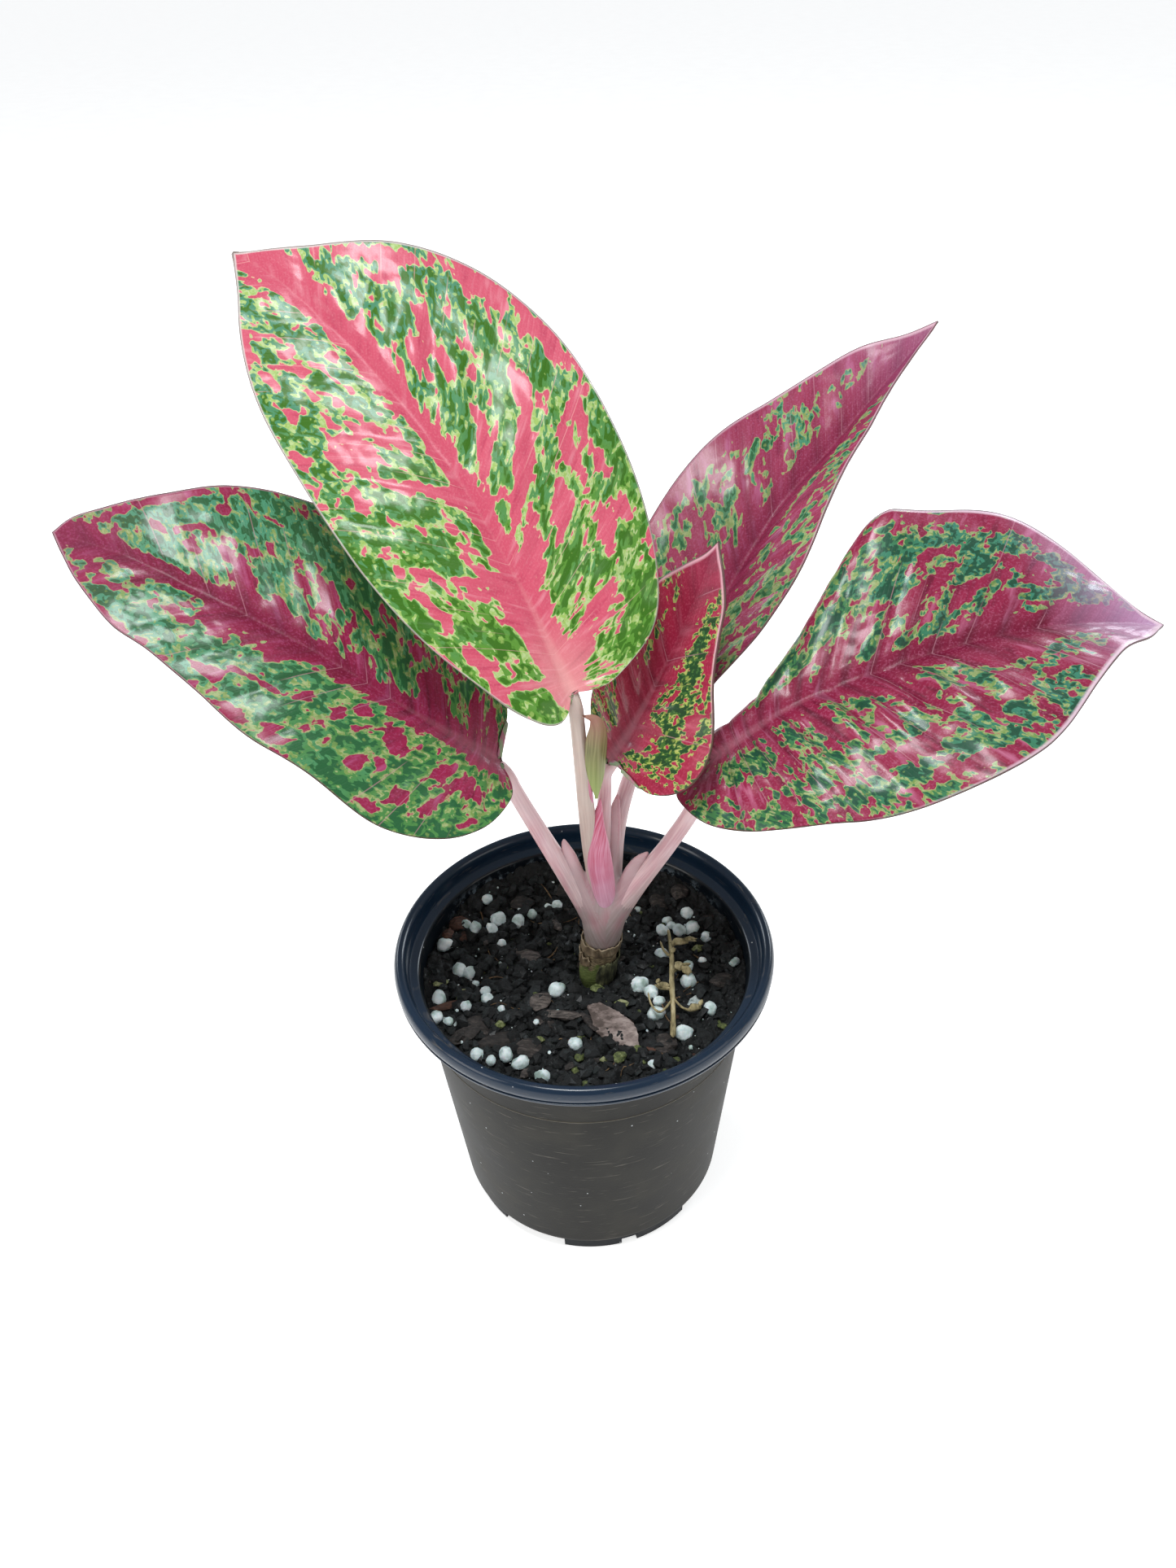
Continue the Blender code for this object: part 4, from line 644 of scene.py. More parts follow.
def flat_places(leaf, row, column):
    """Flat places for rows 0 to 1 along and columns -1 to 1 across, and each row's length."""
    length = Track(leaf.midrib).length
    root = np.stack([length * row**VEIN_LEAD, 0 * row], axis=-1)
    left, right = Track(leaf.left_margin), Track(leaf.right_margin)
    left_edge = left.at(row * left.length) * (1, -1)
    right_edge = right.at(row * right.length)
    edge = np.where((column < 0)[:, None], left_edge, right_edge)
    flat = root + (edge - root) * np.abs(column)[:, None]
    return flat[:, 0], flat[:, 1], np.linalg.norm(edge - root, axis=-1)


def spots(places, along, across):
    """How strongly each flat place lies inside leaning oval patches, from 0 to 1 for each patch."""
    total = np.zeros_like(along)
    for at_along, at_across, reach, breadth, lean, *height in places:
        turn = math.radians(lean)
        ahead = (along - at_along) * math.cos(turn) + (across - at_across) * math.sin(turn)
        aside = (across - at_across) * math.cos(turn) - (along - at_along) * math.sin(turn)
        share = np.exp(-(((ahead / reach) ** 2 + (aside / breadth) ** 2) ** 1.5))
        total = total + share * height[0] if height else np.maximum(total, share)
    return total


def colour(hexadecimal):
    """A hex sRGB colour as linear red, green, blue and alpha."""
    parts = [int(hexadecimal[at : at + 2], 16) / 255 for at in (1, 3, 5)]
    linear = [part / 12.92 if part <= 0.04045 else ((part + 0.055) / 1.055) ** 2.4
              for part in parts]
    return (*linear, 1)


def set_inputs(made, inputs):
    """Gives a node's inputs, by name or by number, their values or the outputs that they follow."""
    shown = [socket for socket in made.inputs if socket.enabled]
    for key, value in inputs.items():
        socket = shown[key] if isinstance(key, int) else next(s for s in shown if s.name == key)
        if isinstance(value, bpy.types.Node):
            value = next(output for output in value.outputs if output.enabled)
        if isinstance(value, bpy.types.NodeSocket):
            made.id_data.links.new(value, socket)
        else:
            socket.default_value = colour(value) if isinstance(value, str) else value


def add_node(tree, kind, *inputs, stops=(), **settings):
    """Adds a node with its settings, ramp stops and inputs, in order or in a dictionary by name."""
    made = tree.nodes.new(f"ShaderNode{kind}")
    for key, value in settings.items():
        setattr(made, key, value)
    if stops:
        elements = made.color_ramp.elements
        while len(elements) < len(stops):
            elements.new(1)
        for element, (place, shade) in zip(elements, stops):
            element.position = place
            element.color = colour(shade) if isinstance(shade, str) else (shade, shade, shade, 1)
    by_name = inputs and isinstance(inputs[0], dict)
    set_inputs(made, inputs[0] if by_name else dict(enumerate(inputs)))
    return made


def new_material(name, inputs):
    """A material, its shader with plain inputs on its own sockets, and add_node for its tree."""
    made = bpy.data.materials.new(name)
    made.use_nodes = True
    shader = made.node_tree.nodes["Principled BSDF"]
    set_inputs(shader, inputs)
    return made, shader, partial(add_node, made.node_tree)


def leaf_skin(name, palette, seed):
    """Aglaonema leaf skin: waxy cuticle over red flesh, its islands a mosaic of lime and green."""
    made, shader, node = new_material(
        name, {"IOR": 1.42, "Specular IOR Level": 0.25, "Coat Roughness": 0.19})
    vein = node("Attribute", attribute_name="vein").outputs["Vector"]
    flat = node("Attribute", attribute_name="flat").outputs["Vector"]
    streak = node("Attribute", attribute_name="streak").outputs["Vector"]
    on_vein = node("SeparateXYZ", vein)
    on_flat = node("SeparateXYZ", flat)
    fanned = node("SeparateXYZ", streak).outputs["Z"]
    lengthwise = on_flat.outputs["X"]

    def grain(source, wide, high, detail, distortion=0.0, shift=0.0):
        """Noise whose grains are this many millimetres wide and high on an attribute."""
        sized = node("Mapping", {
            "Vector": source, "Location": (seed + shift, shift, seed),
            "Scale": (1 / wide, 1 / high, 0)})
        return node("TexNoise", {
            "Vector": sized, "Scale": 1.0, "Detail": detail, "Distortion": distortion})

    # Islands of two sizes, drawn out along the streaks or along the side veins
    size, stretch = palette["island"], palette["stretch"]
    large = node("Mix", fanned, grain(streak, stretch * size, size, 1.3, 0.3),
                 grain(vein, size, stretch * size, 1.3, 0.3, 2.2))
    size /= ISLAND_SIZES
    small = node("Mix", fanned, grain(streak, stretch * size, size, 0.8, 0.5, 5.1),
                 grain(vein, size, stretch * size, 0.8, 0.5, 6.3))
    fine = grain(flat, 1.1, 0.9, 1.0, 0.5, 11.7)
    broad = node("Math", large, palette["large"], on_flat.outputs["Z"], operation="MULTIPLY_ADD")
    closer = node("Math", small, palette["small"], broad, operation="MULTIPLY_ADD")
    finest = node("Math", fine, palette["fine"], closer, operation="MULTIPLY_ADD")
    middle = (palette["large"] + palette["small"] + palette["fine"]) / 2 - 0.5
    field = node("Math", finest, middle, operation="SUBTRACT")
    # Inside an island green gains on lime with the depth, and its cores are darker
    mottle = grain(streak, 0.8 * stretch * size, 0.8 * size, 1.6, 0.6, 4.4)
    depth = node("MapRange", field, 0.5, 0.7, 0.0, palette["depth"])
    mosaic = node("Math", mottle, depth, operation="ADD")
    limy, reach = palette["limy"], palette["reach"]
    # Greens turn blue-green at random, and more so towards the tip, where the blue-green is a
    # painted bluish sky reflection
    tipward_sheen = node("MapRange", lengthwise, 0.0, reach, -0.3, 0.5)
    hue = node("Math", large, 0.9, tipward_sheen, operation="MULTIPLY_ADD")
    bluer = node("ValToRGB", hue, stops=((0.3, 0.0), (0.75, 1.0)))
    green = node("Mix", bluer, palette["green"], palette["blue_green"], data_type="RGBA")
    core = node("ValToRGB", mosaic, stops=((0.66 + limy, 0.0), (0.7 + limy, 1.0)))
    cored = node("Mix", core, green, palette["deep"], data_type="RGBA")
    paler = node("ValToRGB", fine, stops=((0.4, 0.0), (0.6, 1.0)))
    limes = node("Mix", paler, palette["lime"], palette["pale_lime"], data_type="RGBA")
    greener = node("ValToRGB", mosaic, stops=((0.53 + limy, 0.0), (0.55 + limy, 1.0)))
    mixture = node("Mix", greener, limes, cored, data_type="RGBA")
    # Soft yellow-green dots, about 1 mm, in some cells of a 2 mm net
    netted = node("Mapping", {
        "Vector": flat, "Location": (seed, 0, 0), "Scale": (1 / 2.1, 1 / 1.8, 0)})
    net = node("TexVoronoi", {"Vector": netted, "Scale": 1.0}, feature="F1")
    cell = node("SeparateColor", net.outputs["Color"])
    uneven = node("Math", fine, 0.5, net.outputs["Distance"], operation="MULTIPLY_ADD")
    larger = node("Math", cell.outputs["Red"], -0.28, uneven, operation="MULTIPLY_ADD")
    dot = node("ValToRGB", larger, stops=((0.2, palette["dots"]), (0.34, 0.0)))
    dotted = node("Mix", dot, mixture, palette["lime"], data_type="RGBA")
    halo = node("ValToRGB", field, stops=(
        (0.484, palette["rim"]), (0.5, palette["pale_lime"]), (0.52, palette["lime"])))
    rim = node("ValToRGB", field, stops=((0.505, 1.0), (0.535, 0.0)))
    island = node("Mix", rim, dotted, halo, data_type="RGBA")
    # Red flesh: faint streaks, a pale grain of 0.5 mm, deeper beside the midrib, paler at the stalk
    drift = grain(vein, 2.6, 11.0, 2.0, 0.2, 3.3)
    reds = node("ValToRGB", drift, stops=(
        (0.3, palette["dark_red"]), (0.44, palette["red"]), (0.57, palette["red"]),
        (0.74, palette["pale_red"])))
    side = node("Math", on_flat.outputs["Y"], operation="ABSOLUTE")
    beside = node("MapRange", side, 1.0, 7.0, palette["deepening"], 0.0)
    onward = node("MapRange", lengthwise, 12.0, 55.0)
    inward = node("Math", beside, onward, operation="MULTIPLY")
    deepened = node("Mix", inward, reds, palette["dark_red"], data_type="RGBA")
    speck = grain(flat, 0.6, 0.5, 1.0, 0.0, 7.9)
    specked = node("ValToRGB", speck, stops=((0.5, 0.0), (0.72, palette["speck"])))
    grainy = node("Mix", specked, deepened, palette["pale_red"], data_type="RGBA")
    squashed = node("Mapping", {"Vector": flat, "Scale": (1.0, 1.5, 0)})
    away = node("VectorMath", squashed, operation="LENGTH").outputs["Value"]
    at_base = node("MapRange", away, 1.0, 20.0, palette["base_pale"], 0.0)
    flesh = node("Mix", at_base, grainy, palette["rib"], data_type="RGBA")
    inside = node("ValToRGB", field, stops=((0.474, 0.0), (0.484, 1.0)))
    mottled = node("Mix", inside, flesh, island, data_type="RGBA")
    # A few side veins show as thin pale lines, and a painted shade darkens the creases along the
    # side veins
    stepped = node("Math", on_vein.outputs["X"], palette["vein_step"], operation="DIVIDE")
    beat = node("Math", stepped, 0.5, operation="PINGPONG")
    line = node("ValToRGB", beat, stops=((0.008, 1.0), (0.024, 0.0)))
    patchy = grain(vein, 14.0, 22.0, 0.0, 0.0, 1.9)
    some = node("ValToRGB", patchy, stops=((0.52, 0.0), (0.62, 0.45)))
    # Painted shade in the side-vein creases, strongest near the midrib
    crease = node("ValToRGB", beat, stops=((0.0, palette["crease"]), (0.3, 0.0)))
    shallower = node("MapRange", side, 3.0, 26.0, 1.0, 0.15)
    fold = node("Math", crease, shallower, operation="MULTIPLY")
    crease_shaded = node("Mix", fold, mottled, "#2a1018", data_type="RGBA")
    pale_line = node("Math", line, some, operation="MULTIPLY")
    veined = node("Mix", pale_line, crease_shaded, palette["rib"], data_type="RGBA")
    # The midrib: pale and broad where the stalk runs in, then a thin faint line
    rib_width = node("MapRange", lengthwise, 0.0, 34.0, 2.2, 0.35)
    share = node("Math", side, rib_width, operation="DIVIDE")
    fade = node("MapRange", lengthwise, 2.0, 34.0, palette["rib_start"], palette["rib_end"])
    rib = node("ValToRGB", share, stops=((0.3, 1.0), (1.0, 0.0)))
    faint_rib = node("Math", rib, fade, operation="MULTIPLY")
    ribbed = node("Mix", faint_rib, veined, palette["rib"], data_type="RGBA")
    # The margin: a thin pale thread that widens towards the tip, with a dark line at the very edge,
    # and a painted pearly sheen over the tip
    to_margin = on_vein.outputs["Z"]
    width = node("MapRange", lengthwise, 0.0, reach, *palette["thread_width"])
    inset = node("Math", to_margin, width, operation="DIVIDE")
    thread = node("ValToRGB", inset, stops=((0.5, 1.0), (1.0, 0.0)))
    clear = node("MapRange", lengthwise, reach * 0.15, reach * 0.6, palette["thread_start"], 0.9)
    # Painted sheen: towards the tip the colours are mixed with a pale mauve that stands in for a
    # reflection of the sky
    at_tip = node("MapRange", lengthwise, reach * 0.72, reach * 0.97, 0.0, palette["tip"])
    sheened_at_tip = node("Mix", at_tip, ribbed, palette["tip_sheen"], data_type="RGBA")
    clear_thread = node("Math", thread, clear, operation="MULTIPLY")
    threaded = node("Mix", clear_thread, sheened_at_tip, palette["thread"], data_type="RGBA")
    # A dark line along the very edge, fading out 0.3 mm in
    dry = node("MapRange", to_margin, 0.12, 0.3, 0.9, 0.0)
    edged = node("Mix", dry, threaded, palette["edge"], data_type="RGBA")
    # Skin cells of 0.5 mm, sunken fine veins 1.4 mm apart away from the base
    sunken = node("Math", on_vein.outputs["X"], 0.7, operation="PINGPONG")
    raised = node("ValToRGB", sunken, stops=((0.0, 0.0), (0.3, 1.0)))
    deeper = node("MapRange", lengthwise, 5.0, 35.0, 0.1, 0.45)
    ribs = node("Math", raised, deeper, operation="MULTIPLY")
    cells = node("Math", fine, 0.7, speck, operation="MULTIPLY_ADD")
    height = node("Math", ribs, cells, operation="ADD")
    set_inputs(shader, {
        "Base Color": edged,
        "Roughness": node("MapRange", small, 0.3, 0.7, 0.42, 0.56),
        "Coat Weight": node("MapRange", side, 1.0, 3.5, 0.25 * palette["coat"], palette["coat"]),
        "Normal": node("Bump", {"Height": height, "Strength": 0.3, "Distance": 0.00025}),
    })
    return made


def leaf_back(name, palette):
    """Leaf underside: matt, paler, the islands showing faintly through the flesh."""
    made, shader, node = new_material(name, {"Roughness": 0.55, "IOR": 1.42})
    vein = node("Attribute", attribute_name="vein").outputs["Vector"]
    stretched = node("Mapping", {"Vector": vein, "Scale": (1 / 4.6, 1 / 8.5, 0)})
    islands = node("TexNoise", {"Vector": stretched, "Scale": 1.0, "Detail": 3.0})
    tones = node("ValToRGB", islands, stops=(
        (0.4, palette["back_red"]), (0.52, palette["back_green"]), (0.65, palette["back_green"])))
    bump = node("Bump", {"Height": islands, "Strength": 0.2, "Distance": 0.0004})
    set_inputs(shader, {"Base Color": tones, "Normal": bump})
    return made


def palettes(look):
    """Colours and pattern sizes of the five kinds of blade, from the panel's colours."""
    # tip and tip_sheen give a painted sheen over the tip
    coral = dict(
        red=hex_of(look.coral), dark_red="#b8405a", pale_red="#d67f8c",
        green=hex_of(look.leaf_green), blue_green="#458462", deep="#36690f",
        lime=hex_of(look.lime), pale_lime="#afc386", rim="#d9a98c", rib="#e2a9a4",
        edge="#8d7f78", thread="#d9cfcc", tip_sheen="#c04f68",
        back_red="#c98088", back_green="#8fa478", island=4.9, stretch=1.75, large=0.62, small=0.95,
        fine=0.1, dots=0.75, depth=0.2, limy=0.01, speck=0.3, deepening=0.4, base_pale=0.55,
        reach=140.0, vein_step=8.0, rib_start=0.4, rib_end=0.06, thread_width=(0.5, 0.6),
        thread_start=0.5, tip=0.0, coat=0.36, crease=0.0)
    # crease sets the strength of the painted shade along the side-vein creases
    crimson = dict(
        coral, red=hex_of(look.crimson), dark_red="#6d0c2e", pale_red="#a84a74", green="#457e3e",
        blue_green="#448a69", deep="#1f5a30", lime="#728f49", pale_lime="#97a56e", rim="#a67b62",
        rib="#c08492", edge="#4a3028", thread="#b98a98", tip_sheen="#a8577a", back_red="#a8607a",
        back_green="#7f9470", stretch=1.35, dots=0.7, limy=0.0, speck=0.4, deepening=0.8,
        base_pale=0.25, reach=130.0, rib_start=0.35, rib_end=0.05, thread_width=(0.3, 0.6),
        thread_start=0.0, tip=0.15, crease=0.25)
    plum = dict(
        crimson, red="#8c1a3f", pale_red="#b4607f", green="#34703c", blue_green="#357a62",
        deep="#164a33", thread="#e2c4d2", tip_sheen="#c69ac2", island=4.4, stretch=1.2,
        base_pale=0.1, vein_step=9.0, thread_width=(0.3, 1.5), tip=0.72, crease=0.4)
    mauve = dict(
        crimson, red="#94304f", dark_red="#7f1f40", pale_red="#ad5c80", green="#4d7c48",
        lime="#809453", edge="#6d4a4c", thread="#cfa9b6", tip_sheen="#a8709a", island=3.8,
        stretch=1.6, limy=0.03,
        base_pale=0.0, rib_start=0.2, thread_width=(0.5, 1.1), tip=0.3, coat=0.3)
    tender = dict(
        crimson, red="#98193a", dark_red="#80102f", pale_red="#b84a62", green="#3c6424",
        blue_green="#36622c", deep="#16401a", lime="#98a64a", pale_lime="#a9ad62", thread="#d9a3ae",
        island=3.0, stretch=1.2, depth=0.24, base_pale=0.3, reach=64.0, rib_start=0.5,
        thread_width=(0.2, 1.1), coat=0.35)
    return {"coral": coral, "crimson": crimson, "plum": plum, "mauve": mauve, "tender": tender}


def hex_of(shade):
    """A linear panel colour as hex sRGB."""
    parts = [12.92 * part if part <= 0.0031308 else 1.055 * part ** (1 / 2.4) - 0.055
             for part in shade[:3]]
    return "#" + "".join(f"{round(255 * min(max(part, 0), 1)):02x}" for part in parts)


def object_noise(node, scale_mm, detail=3.0, stretch=(1, 1, 1), **more):
    """Noise on Object coordinates whose grain is scale_mm across."""
    place = node("TexCoord").outputs["Object"]
    scale = tuple(1 / (scale_mm * MM * part) for part in stretch)
    sized = node("Mapping", {"Vector": place, "Scale": scale})
    return node("TexNoise", {"Vector": sized, "Scale": 1.0, "Detail": detail, **more})


def stalk_flesh(name, low, high, streak, blush, blushing=0.5, lined=0.5):
    """Fleshy petiole: waxy, translucent pink skin with fine lengthwise streaks and a blush."""
    made, shader, node = new_material(name, {
        "Roughness": 0.42, "IOR": 1.42, "Subsurface Weight": 0.25, "Subsurface Scale": MM,
        "Subsurface Radius": (2.0, 1.0, 0.8), "Coat Weight": 0.12, "Coat Roughness": 0.25})
    stem = node("Attribute", attribute_name="stem").outputs["Vector"]
    # Streaks 0.5 mm wide and 12 mm long
    drawn_out = node("Mapping", {"Vector": stem, "Scale": (1 / 12, 1 / 0.5, 1)})
    streaks = node("TexNoise", {"Vector": drawn_out, "Scale": 1.0, "Detail": 2.0})
    clouds = object_noise(node, 7.0, 2.0)
    # Paler up the stalk: from the low colour at the foot to the high colour 34 mm up
    height = node("SeparateXYZ", stem).outputs["X"]
    rise = node("MapRange", height, 0.0, 34.0)
    soft = node("Math", clouds, 0.7, rise, operation="MULTIPLY_ADD")
    tone = node("Math", soft, 0.35, operation="SUBTRACT", use_clamp=True)
    base = node("Mix", tone, low, high, data_type="RGBA")
    # Blushes some 5 mm wide and 16 mm long
    spread = node("Mapping", {"Vector": stem, "Location": (3, 5, 0), "Scale": (1 / 16, 1 / 5, 1)})
    patches = node("TexNoise", {"Vector": spread, "Scale": 1.0, "Detail": 1.0})
    warm = node("ValToRGB", patches, stops=((0.5, 0.0), (0.68, blushing)))
    blushed = node("Mix", warm, base, blush, data_type="RGBA")
    lines = node("ValToRGB", streaks, stops=((0.42, 0.0), (0.7, lined)))
    finely = node("Mix", lines, blushed, streak, data_type="RGBA")
    bump = node("Bump", {"Height": streaks, "Strength": 0.25, "Distance": 0.0003})
    set_inputs(shader, {"Base Color": finely, "Normal": bump})
    return made


def hood_skin():
    """Cataphyll: thin light green skin with darker lengthwise veins and a dry pinkish-brown tip."""
    made, shader, node = new_material("cataphyll skin", {"Roughness": 0.42, "IOR": 1.42})
    flat = node("Attribute", attribute_name="flat").outputs["Vector"]
    along = node("SeparateXYZ", flat).outputs["X"]
    # Veins 0.6 mm wide and 22 mm long
    drawn_out = node("Mapping", {"Vector": flat, "Scale": (1 / 22, 1 / 0.6, 0)})
    lines = node("TexNoise", {"Vector": drawn_out, "Scale": 1.0, "Detail": 2.0})
    greens = node("ValToRGB", lines, stops=((0.35, "#6a6740"), (0.5, "#878157"), (0.68, "#9c9a6c")))
    foot = node("MapRange", along, 3.0, 17.0, 0.7, 0.0)
    fresher = node("Mix", foot, greens, "#9db06a", data_type="RGBA")
    tip = node("MapRange", along, 18.0, 28.0, 0.0, 0.9)
    dried = node("Mix", tip, fresher, "#9c6a5e", data_type="RGBA")
    bump = node("Bump", {"Height": lines, "Strength": 0.35, "Distance": 0.0002})
    set_inputs(shader, {"Base Color": dried, "Normal": bump})
    return made


def pot_plastic(look):
    """Injection-moulded polypropylene: satin charcoal, scuffed; glossy rim with a painted navy
    reflection, painted navy-black shade inside.
    """
    made, shader, node = new_material(
        "moulded polypropylene", {"IOR": 1.5, "Specular IOR Level": 0.08, "Coat Roughness": 0.17})
    place = node("TexCoord").outputs["Object"]
    xyz = node("SeparateXYZ", place)
    x, y, z = (xyz.outputs[axis] for axis in "XYZ")
    clouds = object_noise(node, 16.0, 4.0)
    body = node("ValToRGB", clouds, stops=(
        (0.35, "#22211f"), (0.55, hex_of(look.pot_body)), (0.75, "#35332e")))
    at_rim = node("MapRange", z, *RIM_BAND)
    level = node("CombineXYZ", x, y)
    radius = node("VectorMath", level, operation="LENGTH").outputs["Value"]
    from_axis = node("Math", z, -POT_LEAN, radius, operation="MULTIPLY_ADD")
    inside = node("MapRange", from_axis, *INNER_BAND, 1.0, 0.0)
    # Painted reflection: the rim is tinted navy for the bluish sky it reflects
    plastic = node("Mix", at_rim, body, hex_of(look.pot_rim), data_type="RGBA")
    # Painted shade: inside the wall the plastic is painted navy-black
    lined = node("Mix", inside, plastic, "#0c1218", data_type="RGBA")
    # The mould's parting line, 0.5 mm wide, painted lighter as a highlight along its ridge
    off_line = node("Math", z, PARTING_LEVEL * MM, operation="SUBTRACT")
    from_line = node("Math", off_line, operation="ABSOLUTE")
    millimetres = node("Math", from_line, 1000.0, operation="MULTIPLY")
    line = node("ValToRGB", millimetres, stops=((0.16, 0.65), (0.4, 0.0)))
    highlit_parting_line = node("Mix", line, lined, "#6a655a", data_type="RGBA")
    # Scuffs 0.7 mm high and 8 mm long
    scuffs = object_noise(node, 0.9, 2.0, (9, 9, 0.8), Distortion=0.6)
    scuff = node("ValToRGB", scuffs, stops=((0.64, 0.0), (0.76, 0.45)))
    scuffed = node("Mix", scuff, highlit_parting_line, "#6d675e", data_type="RGBA")
    # A tidemark of lime scale on the far side of the inner wall, just above the soil
    tide = object_noise(node, 3.0, 4.0, Roughness=0.7)
    marked = node("ValToRGB", tide, stops=((0.52, 0.0), (0.62, 0.5)))
    above = node("MapRange", z, *TIDE_BAND, 1.0, 0.0)
    low_wall = node("Math", inside, above, operation="MULTIPLY")
    far_wall = node("MapRange", y, *FAR_BAND)
    there = node("Math", low_wall, far_wall, operation="MULTIPLY")
    scale = node("Math", marked, there, operation="MULTIPLY")
    chalky = node("Mix", scale, scuffed, "#9fb0bb", data_type="RGBA")
    # Dust specks 0.5 mm across, some 5 mm apart
    cells = node("TexVoronoi", {"Vector": place, "Scale": 1 / (5.5 * MM)}, feature="F1")
    specks = node("ValToRGB", cells.outputs["Distance"], stops=((0.032, 0.85), (0.05, 0.0)))
    dusty = node("Mix", specks, chalky, "#c6cbcd", data_type="RGBA")
    grain = object_noise(node, 0.8, 2.0)
    set_inputs(shader, {
        "Base Color": dusty,
        "Roughness": node("MapRange", {"Value": clouds, "To Min": 0.36, "To Max": 0.55}),
        "Coat Weight": node("Math", at_rim, 0.6, operation="MULTIPLY"),
        "Normal": node("Bump", {"Height": grain, "Strength": 0.12, "Distance": 0.0002}),
    })
    return made


def earthy(name):
    """One of the natural stuffs: peat, bark, husk or a dry stem, in three tones of one grain."""
    dark, middle, pale, grain_mm, roughness, stretch, bump_mm, wet = STUFFS[name]
    made, shader, node = new_material(name, {
        "Roughness": roughness, "IOR": 1.45, "Coat Weight": wet, "Coat Roughness": 0.2})
    grain = object_noise(node, grain_mm, 5.0, stretch, Roughness=0.65)
    shade = node("Attribute", attribute_name="shade").outputs["Fac"]
    mixed = node("Math", shade, 0.5, grain, operation="MULTIPLY_ADD")
    tones = node("ValToRGB", mixed, stops=((0.36, dark), (0.55, middle), (0.85, pale)))
    bump = node("Bump", {"Height": grain, "Strength": 0.7, "Distance": bump_mm * MM})
    set_inputs(shader, {"Base Color": tones, "Normal": bump})
    return made


def perlite_glass():
    """Expanded perlite: chalky white volcanic glass foam, pitted, with a damp green-grey stain."""
    made, shader, node = new_material("expanded perlite", {
        "Roughness": 0.75, "IOR": 1.5, "Subsurface Weight": 0.1, "Subsurface Scale": MM})
    stain = object_noise(node, 3.0, 3.0)
    tones = node("ValToRGB", stain, stops=((0.34, "#8fa39b"), (0.5, "#c3d2d2"), (0.66, "#e3eaea")))
    pits = object_noise(node, 0.5, 2.0)
    bump = node("Bump", {"Height": pits, "Strength": 0.5, "Distance": 0.0003})
    set_inputs(shader, {"Base Color": tones, "Normal": bump})
    return made


def cane_bark():
    """Old aglaonema cane: corky brown skin over green, mossy at the foot."""
    made, shader, node = new_material("corky cane", {"Roughness": 0.62, "IOR": 1.45})
    place = node("TexCoord").outputs["Object"]
    z = node("SeparateXYZ", place).outputs["Z"]
    grain = object_noise(node, 1.2, 4.0, (1, 1, 0.35))
    browns = node("ValToRGB", grain, stops=((0.35, "#4a3d2e"), (0.52, "#76684f"), (0.7, "#a08d6c")))
    moss = object_noise(node, 2.6, 3.0)
    foot = node("MapRange", z, *MOSS_BAND, 0.55, -0.1)
    green = node("Math", moss, foot, operation="ADD")
    patch = node("ValToRGB", green, stops=((0.66, 0.0), (0.78, 0.85)))
    mossy = node("Mix", patch, browns, "#55662f", data_type="RGBA")
    bump = node("Bump", {"Height": grain, "Strength": 0.6, "Distance": 0.0005})
    set_inputs(shader, {"Base Color": mossy, "Normal": bump})
    return made


def plain_floor():
    """Seamless studio paper: matt, very pale, with a faint fibre."""
    made, shader, node = new_material("studio paper", {"Roughness": 0.9, "Emission Strength": 0.72})
    fibre = object_noise(node, 40.0, 2.0)
    tones = node("ValToRGB", fibre, stops=((0.3, "#f3f3f2"), (0.7, "#f6f6f5")))
    set_inputs(shader, {"Base Color": tones, "Emission Color": tones})
    return made


def deselect():
    """Leaves nothing selected, in object mode."""
    if bpy.context.object and bpy.context.object.mode != "OBJECT":
        bpy.ops.object.mode_set(mode="OBJECT")
    bpy.ops.object.select_all(action="DESELECT")


def chosen(made):
    """The object alone selected and active."""
    deselect()
    made.select_set(True)
    bpy.context.view_layer.objects.active = made
    return made


def named(name):
    """The active object and its mesh under this name."""
    made = bpy.context.object
    made.name = name
    made.data.name = name
    return made


def positions(mesh):
    """A mesh's vertex places as an array."""
    flat = np.empty(3 * len(mesh.vertices))
    mesh.vertices.foreach_get("co", flat)
    return flat.reshape(-1, 3)


def place_vertices(mesh, points):
    """Moves a mesh's vertices to these places in millimetres."""
    mesh.vertices.foreach_set("co", (np.asarray(points) * MM).ravel())
    mesh.update()


def give_attribute(mesh, name, values):
    """A vector for each vertex that materials can read."""
    layer = mesh.attributes.new(name, "FLOAT_VECTOR", "POINT")
    layer.data.foreach_set("vector", np.asarray(values, dtype=np.float32).ravel())


def give_shade(mesh, values):
    """A number for each vertex that the natural materials read as lighter or darker."""
    layer = mesh.attributes.new("shade", "FLOAT", "POINT")
    layer.data.foreach_set("value", np.asarray(values, dtype=np.float32))


def weld_and_face_out(made, distance=0.00002):
    """Merges doubled vertices and turns the faces outwards."""
    chosen(made)
    bpy.ops.object.mode_set(mode="EDIT")
    bpy.ops.mesh.select_all(action="SELECT")
    bpy.ops.mesh.remove_doubles(threshold=distance)
    bpy.ops.mesh.normals_make_consistent(inside=False)
    bpy.ops.object.mode_set(mode="OBJECT")


def apply_modifier(made, kind, **settings):
    """Adds a modifier with its settings and applies it."""
    chosen(made)
    step = made.modifiers.new(kind.lower(), kind)
    for key, value in settings.items():
        setattr(step, key, value)
    bpy.ops.object.modifier_apply(modifier=step.name)


def finish_piece(made, finishes, slot, *nodes, smooth=True):
    """Gives a piece its materials, its body and the nodes it stands for; the slot is not used."""
    chosen(made)
    if smooth:
        bpy.ops.object.shade_smooth()
    slots = made.data.materials
    for place, finish in enumerate(finishes):
        if place == len(slots):
            slots.append(None)
        slots[place] = finish
    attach(made, "root")
    if nodes:
        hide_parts(*nodes)
    return made


